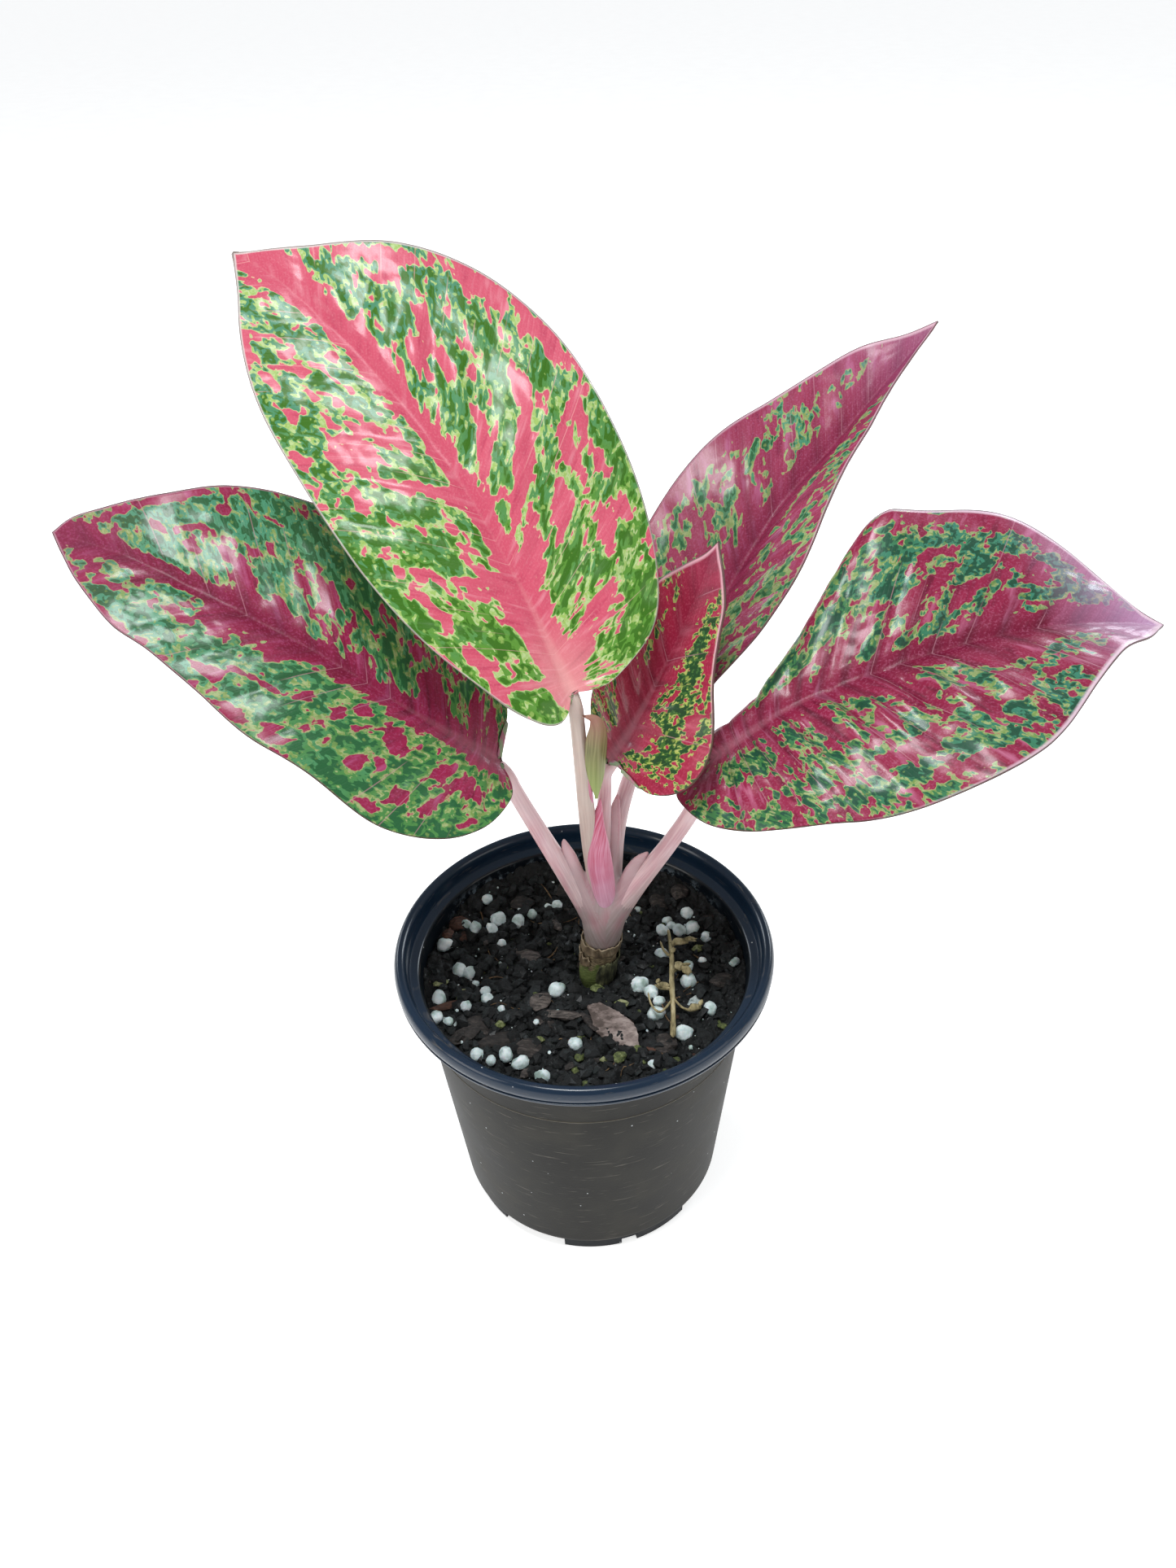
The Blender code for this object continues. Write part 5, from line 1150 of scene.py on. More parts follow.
def swept(name, points, sides=20, spacing=1.2, ripple=0.0):
    """A closed stem through (x, y, z, half width, half depth) points, with its own coordinates."""
    track = Track(points)
    count = max(6, round(track.length / spacing))
    bpy.ops.mesh.primitive_grid_add(x_subdivisions=count, y_subdivisions=sides, size=2)
    made = named(name)
    grid = positions(made.data)
    share, around = (grid[:, 0] + 1) / 2, (grid[:, 1] + 1) * math.pi
    distance = share * track.length
    spine = track.at(distance)
    heading = track.heading(distance)
    wide = unit(np.cross(heading, (0, 1.0, 0)))
    deep = np.cross(heading, wide)
    past_end = np.maximum(2 * share * count - (2 * count - 2), 0)
    before_start = np.maximum(2 - 2 * share * count, 0)
    closing = np.sqrt(np.clip(1 - past_end**2 / 4, 0, 1))
    closing = closing * np.sqrt(np.clip(1 - before_start**2 / 4, 0, 1))
    bulge = 1 + ripple * np.sin(5 * around + 0.4 * distance)
    radius = spine[:, 3:5] * (closing * bulge)[:, None]
    skin = spine[:, :3] + wide * (radius[:, :1] * np.cos(around)[:, None])
    skin = skin + deep * (radius[:, 1:] * np.sin(around)[:, None])
    place_vertices(made.data, skin)
    turn = around * spine[:, 3]
    give_attribute(made.data, "stem", np.stack([distance, turn, 0 * turn], axis=-1))
    weld_and_face_out(made)
    return made


def fused(name, pieces, voxel, rounds):
    """Several overlapping pieces melted into one smooth skin."""
    made = joined(name, pieces)
    apply_modifier(made, "REMESH", mode="VOXEL", voxel_size=voxel * MM)
    apply_modifier(made, "SMOOTH", factor=0.5, iterations=rounds)
    return made


def follow_stems(made, lines):
    """Gives a fused skin lengthwise coordinates from the nearest of the stems inside it."""
    places = positions(made.data) / MM
    best = np.full(len(places), np.inf)
    stem = np.zeros((len(places), 3))
    for line in lines:
        track = Track(line)
        spine = track.curve[:, :3]
        gaps = np.linalg.norm(places[:, None] - spine[None], axis=-1)
        near = gaps.argmin(axis=1)
        beyond = gaps[np.arange(len(places)), near] - track.curve[near, 3]
        heading = track.heading(track.reach[near])
        wide = unit(np.cross(heading, (0, 1.0, 0)))
        out = places - spine[near]
        deep = np.cross(heading, wide)
        around = np.arctan2((out * deep).sum(axis=1), (out * wide).sum(axis=1)) % (2 * math.pi)
        closer = beyond < best
        best = np.minimum(best, beyond)
        turn = around * track.curve[near, 3]
        stem[closer] = np.stack([track.reach[near], turn, 0 * turn], axis=-1)[closer]
    give_attribute(made.data, "stem", stem)


def model_husk(name, first, last, foot, top, off, seed):
    """A ragged papery band round the cane, between two angles and two levels."""
    deselect()
    bpy.ops.mesh.primitive_grid_add(x_subdivisions=90, y_subdivisions=12, size=2)
    made = named(name)
    grid = positions(made.data)
    share, rise = (grid[:, 0] + 1) / 2, (grid[:, 1] + 1) / 2
    angle = np.radians(first + (last - first) * share)
    whole = last - first > 300
    ends = 1 + 0 * share if whole else np.minimum(1, np.minimum(share, 1 - share) / 0.12)
    torn = np.array([noise.fractal(Vector((3 * turn, seed, 0)), 0.6, 2.2, 5) for turn in angle])
    worn = np.array([noise.fractal(Vector((2 * turn, seed, 7)), 0.6, 2.2, 4) for turn in angle])
    middle = (foot + top) / 2
    high = middle + (top - middle) * (0.55 + 0.45 * ends) + 0.16 * (top - foot + 2) * torn
    low = middle + (foot - middle) * (0.55 + 0.45 * ends) + 0.14 * (top - foot + 2) * worn
    level = low + (high - low) * rise
    cane = np.array(CANE)
    centre = np.interp(level, cane[:, 2], cane[:, 0])
    crease = [noise.noise(Vector((5 * turn, lift / 3, seed))) for turn, lift in zip(angle, level)]
    crease = np.array(crease)
    radius = np.interp(level, cane[:, 2], cane[:, 3]) + off + 0.4 * rise**3 + 0.25 * crease
    x, y = centre + radius * np.cos(angle), radius * 0.97 * np.sin(angle)
    place_vertices(made.data, np.stack([x, y, level], axis=-1))
    give_shade(made.data, 0.35 * rise**2 + 0.2 * crease)

    weld_and_face_out(made)
    apply_modifier(made, "SOLIDIFY", thickness=0.3 * MM, offset=-1)
    return made


def joined(name, pieces):
    """Several pieces as one object."""
    deselect()
    for piece in pieces:
        piece.select_set(True)
    bpy.context.view_layer.objects.active = pieces[0]
    bpy.ops.object.join()
    return named(name)


def lumpy(points, size, length, seed):
    """Points moved in and out by smooth noise, from their middle."""
    moved = []
    for point in points:
        spot = Vector(point)
        away = spot.normalized() if spot.length else Vector((0, 0, 1))
        push = size * noise.fractal(spot / length + Vector((seed, 2 * seed, 0)), 0.6, 2.1, 3)
        moved.append(spot + away * push)
    return np.array(moved)


def pebble(subdivisions, size, seed, flatness=(1, 1, 1)):
    """Vertices and faces of a lump with a radius of one, modelled from an icosphere."""
    bpy.ops.mesh.primitive_ico_sphere_add(subdivisions=subdivisions, radius=1)
    made = bpy.context.object
    shape = lumpy(positions(made.data), size, 1.1, seed) * flatness
    faces = [tuple(face.vertices) for face in made.data.polygons]
    bpy.data.meshes.remove(made.data)
    return shape, np.array(faces)


def strewn(name, kinds, places, draw, shades=(0.0, 0.0), chosen_shades=()):
    """One mesh of lumps of a few kinds, at (x, y, z, length, width, height, turn, tilt)."""
    verts, faces, tones = [], [], []
    count = 0
    for number, (x, y, z, length, width, height, turn, tilt) in enumerate(places):
        shape, sides = kinds[draw.randrange(len(kinds))]
        tilt, turn = math.radians(tilt), math.radians(turn)
        rotation = Euler((tilt, tilt * 0.7, turn)).to_matrix()
        moved = (shape * (length / 2, width / 2, height / 2)) @ np.array(rotation).T + (x, y, z)
        verts.append(moved)
        faces.append(sides + count)
        tone = chosen_shades[number] if number < len(chosen_shades) else draw.uniform(*shades)
        tones.append(np.full(len(moved), tone))
        count += len(moved)
    mesh = bpy.data.meshes.new(name)
    mesh.from_pydata((np.vstack(verts) * MM).tolist(), [], np.vstack(faces).tolist())
    give_shade(mesh, np.concatenate(tones))
    made = bpy.data.objects.new(name, mesh)
    bpy.context.scene.collection.objects.link(made)
    return made


def soil_height(x, y):
    """The height of the lumpy soil surface at a place."""
    lump = noise.noise(Vector((x, y, SOIL_SEED * 10.0)) / SOIL_BUMP_LENGTH)
    return SOIL_LEVEL + SOIL_BUMP * lump


def crumbly_height(x, y):
    """The soil surface with clods and pits, banked up at the wall and hollow beside the cane."""
    spot = Vector((x, y, 3.0))
    clods = noise.fractal(spot / CLOD_LENGTH, 0.6, 2.2, 6)
    pits = max(0.0, noise.noise(spot / PIT_LENGTH + Vector((9, 4, 1))))
    bank = max(0.0, math.hypot(x, y) - BANK_RADIUS) / 10.0 * (1.2 + 2.2 * max(0.0, y) / 45.0)
    hollow = HOLLOW_DEPTH * math.exp(-((x + 2) ** 2 + (y - 1) ** 2) / HOLLOW_SPREAD)
    return soil_height(x, y) + CLOD_HEIGHT * clods - PIT_DEPTH * pits * pits + bank - hollow


def pot_profile(sizes):
    """The pot's outline, up from its inner floor, over the rolled rim and down to the foot."""
    height, rim = sizes.pot_height / MM, sizes.rim_radius / MM
    lean = (WALL_TOP_RADIUS - WALL_FOOT_RADIUS) / (height - (RIM_HEIGHT + STEP_LEVEL))

    def wall(level):
        """The outer wall's radius at a level."""
        return WALL_FOOT_RADIUS + lean * (level - STEP_LEVEL)

    return [
        (0, 2.0), (38.0, 2.0), (wall(7) - 1.3, 7.0), (wall(40) - 1.3, 40.0), (wall(70) - 1.2, 70.0),
        (wall(78) - 0.8, 78.0), (47.45, height - 7.0), (47.7, height - 6.3), (48.4, height - 5.8),
        (49.7, height - 5.6), (50.4, height - 5.2), (50.8, height - 4.2), (50.9, height - 2.6),
        (51.1, height - 1.5), (51.6, height - 0.6), (52.3, height - 0.12), (53.0, height),
        (53.6, height - 0.25), (54.1, height - 0.8), (rim - 0.1, height - 1.6), (rim, height - 2.6),
        (rim - 0.05, height - 3.5), (rim - 0.35, height - 4.2), (rim - 0.55, height - 4.5),
        (rim - 0.2, height - 4.65), (rim - 0.2, height - 4.95), (rim - 0.6, height - 5.15),
        (rim - 0.45, height - 5.35), (rim - 0.55, height - 5.7), (rim - 1.2, height - 5.95),
        (50.6, height - 6.1), (49.2, height - 6.4), (48.5, height - 7.1), (48.25, height - 8.2),
        (wall(83), 83.0),
        *[(wall(PARTING_LEVEL + up) + out, PARTING_LEVEL + up)
          for up, out in ((0.25, 0.02), (0.1, 0.16), (-0.1, 0.12), (-0.3, -0.06), (-2.0, 0.0))],
        (wall(60), 60.0), (wall(40), 40.0), (wall(20), 20.0), (wall(7), 7.0), (wall(6.1), 6.1),
        (wall(5.6) - 0.35, 5.55), (39.7, 5.25), (39.4, 4.6), (39.3, 0.5), (38.9, 0.0), (0, 0.0),
    ]


def model_pot(sizes):
    """Spins the profile into the pot and cuts the drain notches out of its foot."""
    mesh = bpy.data.meshes.new("nursery_pot")
    profile = pot_profile(sizes)
    edges = [(at, at + 1) for at in range(len(profile) - 1)]
    mesh.from_pydata([(radius * MM, 0, level * MM) for radius, level in profile], edges, [])
    pot = bpy.data.objects.new("nursery_pot", mesh)
    bpy.context.scene.collection.objects.link(pot)
    chosen(pot)
    bpy.ops.object.mode_set(mode="EDIT")
    bpy.ops.mesh.select_all(action="SELECT")
    bpy.ops.mesh.spin(steps=POT_SIDES, angle=2 * math.pi, center=(0, 0, 0), axis=(0, 0, 1))
    bpy.ops.mesh.remove_doubles(threshold=0.00001)
    bpy.ops.mesh.normals_make_consistent(inside=False)
    bpy.ops.object.mode_set(mode="OBJECT")
    for quarter in range(4):
        for turn, width, height in NOTCHES:
            angle = math.radians(turn + 90 * quarter)
            place = (NOTCH_RADIUS * MM * math.cos(angle), NOTCH_RADIUS * MM * math.sin(angle), 0)
            deselect()
            bpy.ops.mesh.primitive_cube_add(size=1, location=place, rotation=(0, 0, angle),
                                            scale=(NOTCH_DEPTH * MM, width * MM, 2 * height * MM))
            cutter = bpy.context.object
            apply_modifier(pot, "BOOLEAN", operation="DIFFERENCE", object=cutter, solver="EXACT")
            bpy.data.objects.remove(cutter)
    chosen(pot)
    bpy.ops.object.shade_smooth_by_angle(angle=math.radians(38))
    return pot


def model_soil():
    """The root ball with its crumbly top, as one closed piece."""
    deselect()
    bpy.ops.mesh.primitive_grid_add(x_subdivisions=SOIL_CUTS, y_subdivisions=SOIL_CUTS, size=2)
    made = named("potting_mix")
    grid = positions(made.data)
    x = grid[:, 0] * np.sqrt(1 - grid[:, 1] ** 2 / 2) * SOIL_RADIUS
    y = grid[:, 1] * np.sqrt(1 - grid[:, 0] ** 2 / 2) * SOIL_RADIUS
    top = [crumbly_height(*spot) for spot in zip(x, y)]
    place_vertices(made.data, np.stack([x, y, np.array(top)], axis=-1))
    give_shade(made.data, np.zeros(len(x)))
    chosen(made)
    bpy.ops.object.mode_set(mode="EDIT")
    bpy.ops.mesh.select_mode(type="EDGE")
    bpy.ops.mesh.select_all(action="SELECT")
    bpy.ops.mesh.region_to_loop()
    for drop, scale in ROOT_BALL:
        bpy.ops.mesh.extrude_region_move(TRANSFORM_OT_translate={"value": (0, 0, drop * MM)})
        bpy.ops.transform.resize(value=(scale, scale, 1), center_override=(0, 0, 0))
    bpy.ops.mesh.edge_face_add()
    bpy.ops.object.mode_set(mode="OBJECT")
    bottom = positions(made.data)
    bottom[:, 2] = np.maximum(bottom[:, 2], SOIL_FOOT * MM)
    made.data.vertices.foreach_set("co", bottom.ravel())
    weld_and_face_out(made)
    return made


def bead_places(draw):
    """Where the perlite beads lie, sunk a little into the soil."""
    places = []
    for x, y, radius in BEADS:
        level = crumbly_height(x, y) + radius * (1 - 2 * BEAD_SUNK) * 0.8
        places.append((
            x, y, level, 2 * radius * draw.uniform(0.95, 1.12),
            2 * radius * draw.uniform(0.82, 1.0), 2 * radius * draw.uniform(0.78, 0.95),
            draw.uniform(0, 360), draw.uniform(-30, 30)))
    return places


def listed_places(listed):
    """Where the listed bits lie, pulled inside the wall."""
    places = []
    for x, y, length, width, turn, _ in listed:
        inward = min(1, (SOIL_RADIUS - WALL_GAP - length / 2) / math.hypot(x, y))
        x, y = inward * x, inward * y
        level = crumbly_height(x, y) + 0.7
        places.append((x, y, level, length, width, 0.4 * width + 0.4, turn, 8))
    return places


def scattered(draw, count, smallest, largest, rise=0.0, flat=0.7, clear=7.5):
    """Random places on the soil for lumps between two sizes, clear of the cane and the wall."""
    places = []
    while len(places) < count:
        x, y = (draw.uniform(-STREWN_HALF, STREWN_HALF) for _ in range(2))
        size = smallest + (largest - smallest) * draw.random() ** 2.2
        if math.hypot(x, y) > STREWN_RADIUS - size / 2 or math.hypot(x - CANE_X, y) < clear:
            continue
        level = crumbly_height(x, y) + rise * size
        places.append((
            x, y, level, size, size * draw.uniform(0.55, 0.95),
            size * flat * draw.uniform(0.6, 1.1), draw.uniform(0, 360), draw.uniform(-25, 25)))
    return places


def model_fibres(draw):
    """Fine peat fibres and needle scraps lying on the soil, as one mesh of thin stems."""
    stems = []
    for number in range(FIBRES):
        x, y = draw.uniform(-38, 38), draw.uniform(-38, 38)
        if math.hypot(x, y) > 40 or math.hypot(x - CANE_X, y) < 8:
            continue
        turn, reach = draw.uniform(0, 2 * math.pi), draw.uniform(2.5, 6)
        bend = draw.uniform(-0.5, 0.5)
        line = []
        for step in (-1, -0.3, 0.4, 1):
            angle = turn + bend * step
            px, py = x + reach * step * math.cos(angle), y + reach * step * math.sin(angle)
            thick = draw.uniform(0.16, 0.34) * (1.15 - abs(step) * 0.6)
            line.append((px, py, crumbly_height(px, py) + 0.5, thick, thick * 0.8))
        stems.append(swept(f"fibre_{number}", line, 6, 1.6))
    made = joined("peat_fibres", stems)
    give_shade(made.data, np.zeros(len(made.data.vertices)))
    return made


def outline_reach(angle, outline):
    """How far a closed outline round the origin reaches at these angles."""
    ahead_x, ahead_y = np.cos(angle), np.sin(angle)
    reach = np.zeros_like(angle)
    for (ax, ay), (bx, by) in zip(outline, outline[1:]):
        across = ahead_x * (by - ay) - ahead_y * (bx - ax)
        across = np.where(np.abs(across) < 1e-9, 1e-9, across)
        distance = (ax * (by - ay) - ay * (bx - ax)) / across
        share = (ax * ahead_y - ay * ahead_x) / across
        on_edge = (share >= -1e-6) & (share <= 1 + 1e-6)
        reach = np.where(on_edge & (distance > reach), distance, reach)
    return reach


def model_flake():
    """The large bark flake: a rough slab on its outline, tilted where it lies."""
    deselect()
    bpy.ops.mesh.primitive_grid_add(x_subdivisions=36, y_subdivisions=36, size=2)
    made = named("bark_slab")
    grid = positions(made.data)
    outline = np.array([*FLAKE_OUTLINE, FLAKE_OUTLINE[0]], float)
    disc_x = grid[:, 0] * np.sqrt(1 - grid[:, 1] ** 2 / 2)
    disc_y = grid[:, 1] * np.sqrt(1 - grid[:, 0] ** 2 / 2)
    angle, away = np.arctan2(disc_y, disc_x), np.hypot(disc_x, disc_y)
    reach = outline_reach(angle, outline) * (1 + 0.03 * np.sin(7 * angle) * np.sin(17 * angle + 1))
    x, y = reach * away * np.cos(angle), reach * away * np.sin(angle)
    ridges = [noise.fractal(Vector((a / 6, b / 1.6, 4)), 0.7, 2.2, 4) for a, b in zip(x, y)]
    level = 0.5 * np.array(ridges) + 0.8 - 0.5 * np.clip(away, 0, 1) ** 6 + 0.02 * (x - 1) ** 2
    points = np.stack([x, y, level], axis=-1)
    turn = np.array(Euler([math.radians(angle) for angle in FLAKE_TILT]).to_matrix())
    place_vertices(made.data, points @ turn.T + FLAKE_PLACE)
    give_shade(made.data, 0.03 * (x - 2) - 0.012 * y)
    apply_modifier(made, "SOLIDIFY", thickness=1.5 * MM, offset=-1)
    weld_and_face_out(made, 0.000002)
    return made


def relief(leaf, row, column, along, across):
    """How far the surface stands off its smooth form: quilting, midrib groove and puckers."""
    width = np.abs(across)
    inner = np.clip((1 - np.abs(column)) / 0.18, 0, 1)
    beside = 1 - np.exp(-((width / 3.5) ** 2))
    panel = np.abs(np.sin(math.pi * (row * SIDE_VEINS + 0.4 * (column < 0))))
    quilt = leaf.quilt * (panel**0.7 - 0.6) * inner * beside
    share = np.clip(along / Track(leaf.midrib).length, 0, 1)
    groove = -(0.6 - 0.5 * share) * np.exp(-((width / 2.2) ** 2)) * (leaf.quilt > 0)
    seed = len(leaf.stalk)
    ripples = [noise.fractal(Vector((a / 9, b / 6, seed)), 0.6, 2.0, 3)
               for a, b in zip(along, across)]
    puckers = spots(leaf.puckers, along, across)
    return quilt + groove + puckers + 0.4 * leaf.quilt * np.array(ripples) * inner


def model_blade(name, leaf, rows, half_columns, thickness=BLADE_THICKNESS):
    """A blade whose rows follow the side veins, with relief, coordinates and an underside."""
    deselect()
    bpy.ops.mesh.primitive_grid_add(x_subdivisions=rows, y_subdivisions=2 * half_columns, size=2)
    made = named(name)
    grid = positions(made.data)
    row, column = np.interp(grid[:, 0], (-1, 1), (ROW_INSET, 1 - ROW_INSET)), grid[:, 1]
    along, across, row_length = flat_places(leaf, row, column)
    middle = on_blade(leaf, along, across)
    step = 0.4
    ahead = on_blade(leaf, along + step, across) - on_blade(leaf, along - step, across)
    aside = on_blade(leaf, along, across + step) - on_blade(leaf, along, across - step)
    upward = unit(np.cross(aside, ahead) + 1e-9)
    raised = middle + upward * relief(leaf, row, column, along, across)[:, None]
    place_vertices(made.data, raised)
    share = np.clip(along / Track(leaf.midrib).length, 0, 1)
    plain = np.exp(-((np.abs(across) / by_thirds(leaf.feather, share)) ** 2))
    left = across < 0
    level = np.where(left, *leaf.level)
    green, red = spots(leaf.green, along, across), spots(leaf.red, along, across)
    pull = level + 0.2 * green - 0.34 * red - 0.5 * plain
    base, tip = (np.where(left, leaf.streaks[0][end], leaf.streaks[1][end]) for end in (0, 1))
    bent = np.abs(across) - base * along - (tip - base) * along**2 / (2 * Track(leaf.midrib).length)
    base, tip = (np.where(left, leaf.fan[0][end], leaf.fan[1][end]) for end in (0, 1))
    fanned = base + (tip - base) * np.clip((share - 0.4) / 0.25, 0, 1)
    margin_length = Track(leaf.right_margin).length
    to_margin = (1 - np.abs(column)) * row_length * 0.75
    patterns = {
        "vein": (row * margin_length, column * row_length, to_margin),
        "flat": (along, across, pull),
        "streak": (along, bent + 200 * left, fanned),
    }
    for layer, parts in patterns.items():
        give_attribute(made.data, layer, np.stack(parts, axis=-1))
    normals = np.empty(3 * len(made.data.polygons))
    made.data.polygons.foreach_get("normal", normals)
    if (normals.reshape(-1, 3) @ upward.mean(axis=0)).sum() < 0:
        bpy.ops.object.mode_set(mode="EDIT")
        bpy.ops.mesh.select_all(action="SELECT")
        bpy.ops.mesh.flip_normals()
        bpy.ops.object.mode_set(mode="OBJECT")
    made.data.materials.append(None)
    made.data.materials.append(None)
    apply_modifier(made, "SOLIDIFY", thickness=thickness * MM, offset=-1, material_offset=1,
                   use_even_offset=False)
    return made


def rib_line(leaf):
    """The stalk's path as it runs on under the midrib, as (x, y, z, half width, half depth)."""
    length = Track(leaf.midrib).length
    share = np.linspace(0.015, RIB_REACH, RIB_POINTS)
    point, _, up, _ = midrib_frame(leaf, share * length)
    radius = RIB_END_RADIUS + (leaf.rib_radius - RIB_END_RADIUS) * (1 - share / RIB_REACH) ** 1.2
    sunk = radius + 0.9 - 0.5 * share
    low = point - up * sunk[:, None]
    return [(*spot, size, size) for spot, size in zip(low, radius)]


class PlantSizes(bpy.types.PropertyGroup):
    """The sizes that a user would change."""

    pot_height: bpy.props.FloatProperty(
        name="Pot height", description="From the ground to the top of the rim", default=0.0935,
        min=0.08, max=0.11, unit="LENGTH")
    rim_radius: bpy.props.FloatProperty(
        name="Rim radius", description="Outer radius of the rolled rim", default=0.0545,
        min=0.05, max=0.06, unit="LENGTH")
    blade_rows: bpy.props.IntProperty(
        name="Blade rows", description="How finely each blade is divided along its length",
        default=150, min=40, max=200)
    crumbs: bpy.props.IntProperty(
        name="Crumbs", description="How many peat crumbs lie on the soil", default=2400,
        min=0, max=4000)


class PlantColours(bpy.types.PropertyGroup):
    """The colours that a user would change."""

    coral: bpy.props.FloatVectorProperty(
        name="Coral", description="Flesh of the top leaf", default=colour("#c85268"),
        subtype="COLOR", size=4, min=0, max=1)
    crimson: bpy.props.FloatVectorProperty(
        name="Crimson", description="Flesh of the other leaves", default=colour("#8e1842"),
        subtype="COLOR", size=4, min=0, max=1)
    leaf_green: bpy.props.FloatVectorProperty(
        name="Leaf green", description="Islands on the top leaf", default=colour("#568a2e"),
        subtype="COLOR", size=4, min=0, max=1)
    lime: bpy.props.FloatVectorProperty(
        name="Lime", description="Halos and speckles on the top leaf", default=colour("#93b25a"),
        subtype="COLOR", size=4, min=0, max=1)
    pot_body: bpy.props.FloatVectorProperty(
        name="Pot body", description="Satin body of the pot", default=colour("#2a2926"),
        subtype="COLOR", size=4, min=0, max=1)
    # The rim's navy is a painted reflection of a bluish sky on dark plastic
    pot_rim: bpy.props.FloatVectorProperty(
        name="Pot rim", description="Glossier rim of the pot", default=colour("#112437"),
        subtype="COLOR", size=4, min=0, max=1)


class PLANT_OT_pot(bpy.types.Operator):
    """Adds the nursery pot"""

    bl_idname = "plant.add_pot"
    bl_label = "Add pot"

    def execute(self, context):
        pot = model_pot(context.scene.plant_sizes)
        plastic = pot_plastic(context.scene.plant_colours)
        finish_piece(pot, [plastic], "pot_plastic", "pot", smooth=False)
        return {"FINISHED"}


class PLANT_OT_soil(bpy.types.Operator):
    """Adds the potting mix with its crumbs, perlite, chips and fibres"""

    bl_idname = "plant.add_soil"
    bl_label = "Add soil"

    def execute(self, context):
        draw = random.Random(SOIL_SEED)
        peat, white = earthy("damp peat"), perlite_glass()
        finish_piece(model_soil(), [peat], "potting_soil", "soil")
        deselect()
        lumps = [pebble(3, 0.2, seed) for seed in range(6)]
        beads = strewn("perlite_beads", lumps, bead_places(draw), draw)
        finish_piece(beads, [white], "potting_soil")
        lumps = [pebble(1, 0.6, seed) for seed in range(8)]
        places = scattered(draw, context.scene.plant_sizes.crumbs, 0.6, 5.4, 0.12)
        crumbs = strewn("peat_crumbs", lumps, places, draw, (-0.25, 0.3))
        finish_piece(crumbs, [peat], "potting_soil", smooth=False)
        lumps = [pebble(1, 0.4, seed) for seed in range(4)]
        grit = strewn("perlite_grit", lumps, scattered(draw, GRIT, 0.4, 1.5, 0.4), draw)
        finish_piece(grit, [white], "potting_soil", smooth=False)
        slabs = [pebble(2, 0.45, seed, (1, 1, 0.9)) for seed in range(6)]
        for name, stuff, listed, count, largest in BITS:
            places = listed_places(listed) + scattered(draw, count, 1.2, largest, 0.05, 0.4)
            tones = [shade for *_, shade in listed]
            made = strewn(name, slabs, places, draw, (-0.2, 0.1), tones)
            finish_piece(made, [earthy(stuff)], "potting_soil", smooth=False)
        finish_piece(model_fibres(draw), [earthy("peat fibre")], "potting_soil")
        return {"FINISHED"}


class PLANT_OT_litter(bpy.types.Operator):
    """Adds the bark flake and the dry twig"""

    bl_idname = "plant.add_litter"
    bl_label = "Add litter"

    def execute(self, context):
        finish_piece(model_flake(), [earthy("weathered bark")], "bark", "bark_flake")
        deselect()
        stems = [swept(f"twig_{number}", line, 12, 0.8, 0.14) for number, line in enumerate(TWIGS)]
        lumps = [pebble(2, 0.7, seed) for seed in range(5)]
        scraps = strewn("stem_scraps", lumps, SCRAPS, random.Random(3))
        twig = joined("dry_stem_remnant", stems)
        give_shade(twig.data, np.zeros(len(twig.data.vertices)))
        dry = earthy("dry stem")
        finish_piece(scraps, [dry], "dry_stem")
        finish_piece(twig, [dry], "dry_stem", "dry_twig")
        return {"FINISHED"}


class PLANT_OT_cane(bpy.types.Operator):
    """Adds the short old cane"""

    bl_idname = "plant.add_cane"
    bl_label = "Add cane"

    def execute(self, context):
        deselect()
        finish_piece(swept("old_cane", CANE, 32, 0.8, 0.03), [cane_bark()], "cane", "cane")
        paper, green = earthy("papery sheath remnant"), earthy("green sheath remnant")
        for number, (husk, stuff) in enumerate(zip(HUSKS, (paper, green, paper))):
            finish_piece(model_husk(f"husk_{number}", *husk, 4.0 * number), [stuff], "cane")
        return {"FINISHED"}


class PLANT_OT_stalks(bpy.types.Operator):
    """Adds the crown, the spear, the sheaths and the leaf stalks with their ribs"""

    bl_idname = "plant.add_stalks"
    bl_label = "Add stalks"

    def execute(self, context):
        deselect()
        pale = stalk_flesh("pale petiole", "#a9938f", "#d6b5b9", "#ead3d2", "#bf7f8b")
        creamy = stalk_flesh("cream petiole", "#a8958c", "#c0aca2", "#d3c3b8", "#b89a94", 0.3)
        # The crown's grey-mauve low colour is a painted shade where the leaves shade its foot
        smooth = stalk_flesh("crown flesh", "#8d807c", "#d0a8ae", "#d8bfc0", "#b5707f", 0.5, 0.2)
        blushed = stalk_flesh("blushed sheath", "#d9adc2", "#bf4a6c", "#e6bccf", "#b03a56", 0.35)
        lines = {name: [(*spot, size, size) for *spot, size in leaf.stalk]
                 for name, leaf in LEAVES.items()}
        for name, leaf in LEAVES.items():
            stalk = swept(f"stalk_{name}", lines[name] + rib_line(leaf), 24, 1.4)
            finish_piece(stalk, [creamy if name == "top" else pale], "pink_stalk")
        parts = [swept("crown_core", CROWN, 36, 0.9)]
        for name, reach in FUSED.items():
            track = Track(lines[name])
            places = track.at(np.linspace(0, reach, 12))
            places[:, 3:] += FUSED_SWELL - FUSED_TAPER * np.linspace(0, 1, 12)[:, None] ** 2
            parts.append(swept(f"fused_{name}", places, 28, 0.9))
        for name in ("left", "right", "back"):
            parts.append(swept(f"sheath_{name}", SHEATHS[name], 28, 0.8))
        crown = fused("crown", parts, FUSED_VOXEL, 5)
        follow_stems(crown, list(lines.values()))
        finish_piece(crown, [smooth], "pink_stalk", "leaf_stalks")
        finish_piece(swept("sheath_top", SHEATHS["top"], 24, 0.8), [blushed], "pink_stalk")
        finish_piece(swept("spear", SPEAR, 32, 0.8), [blushed], "pink_stalk")
        return {"FINISHED"}


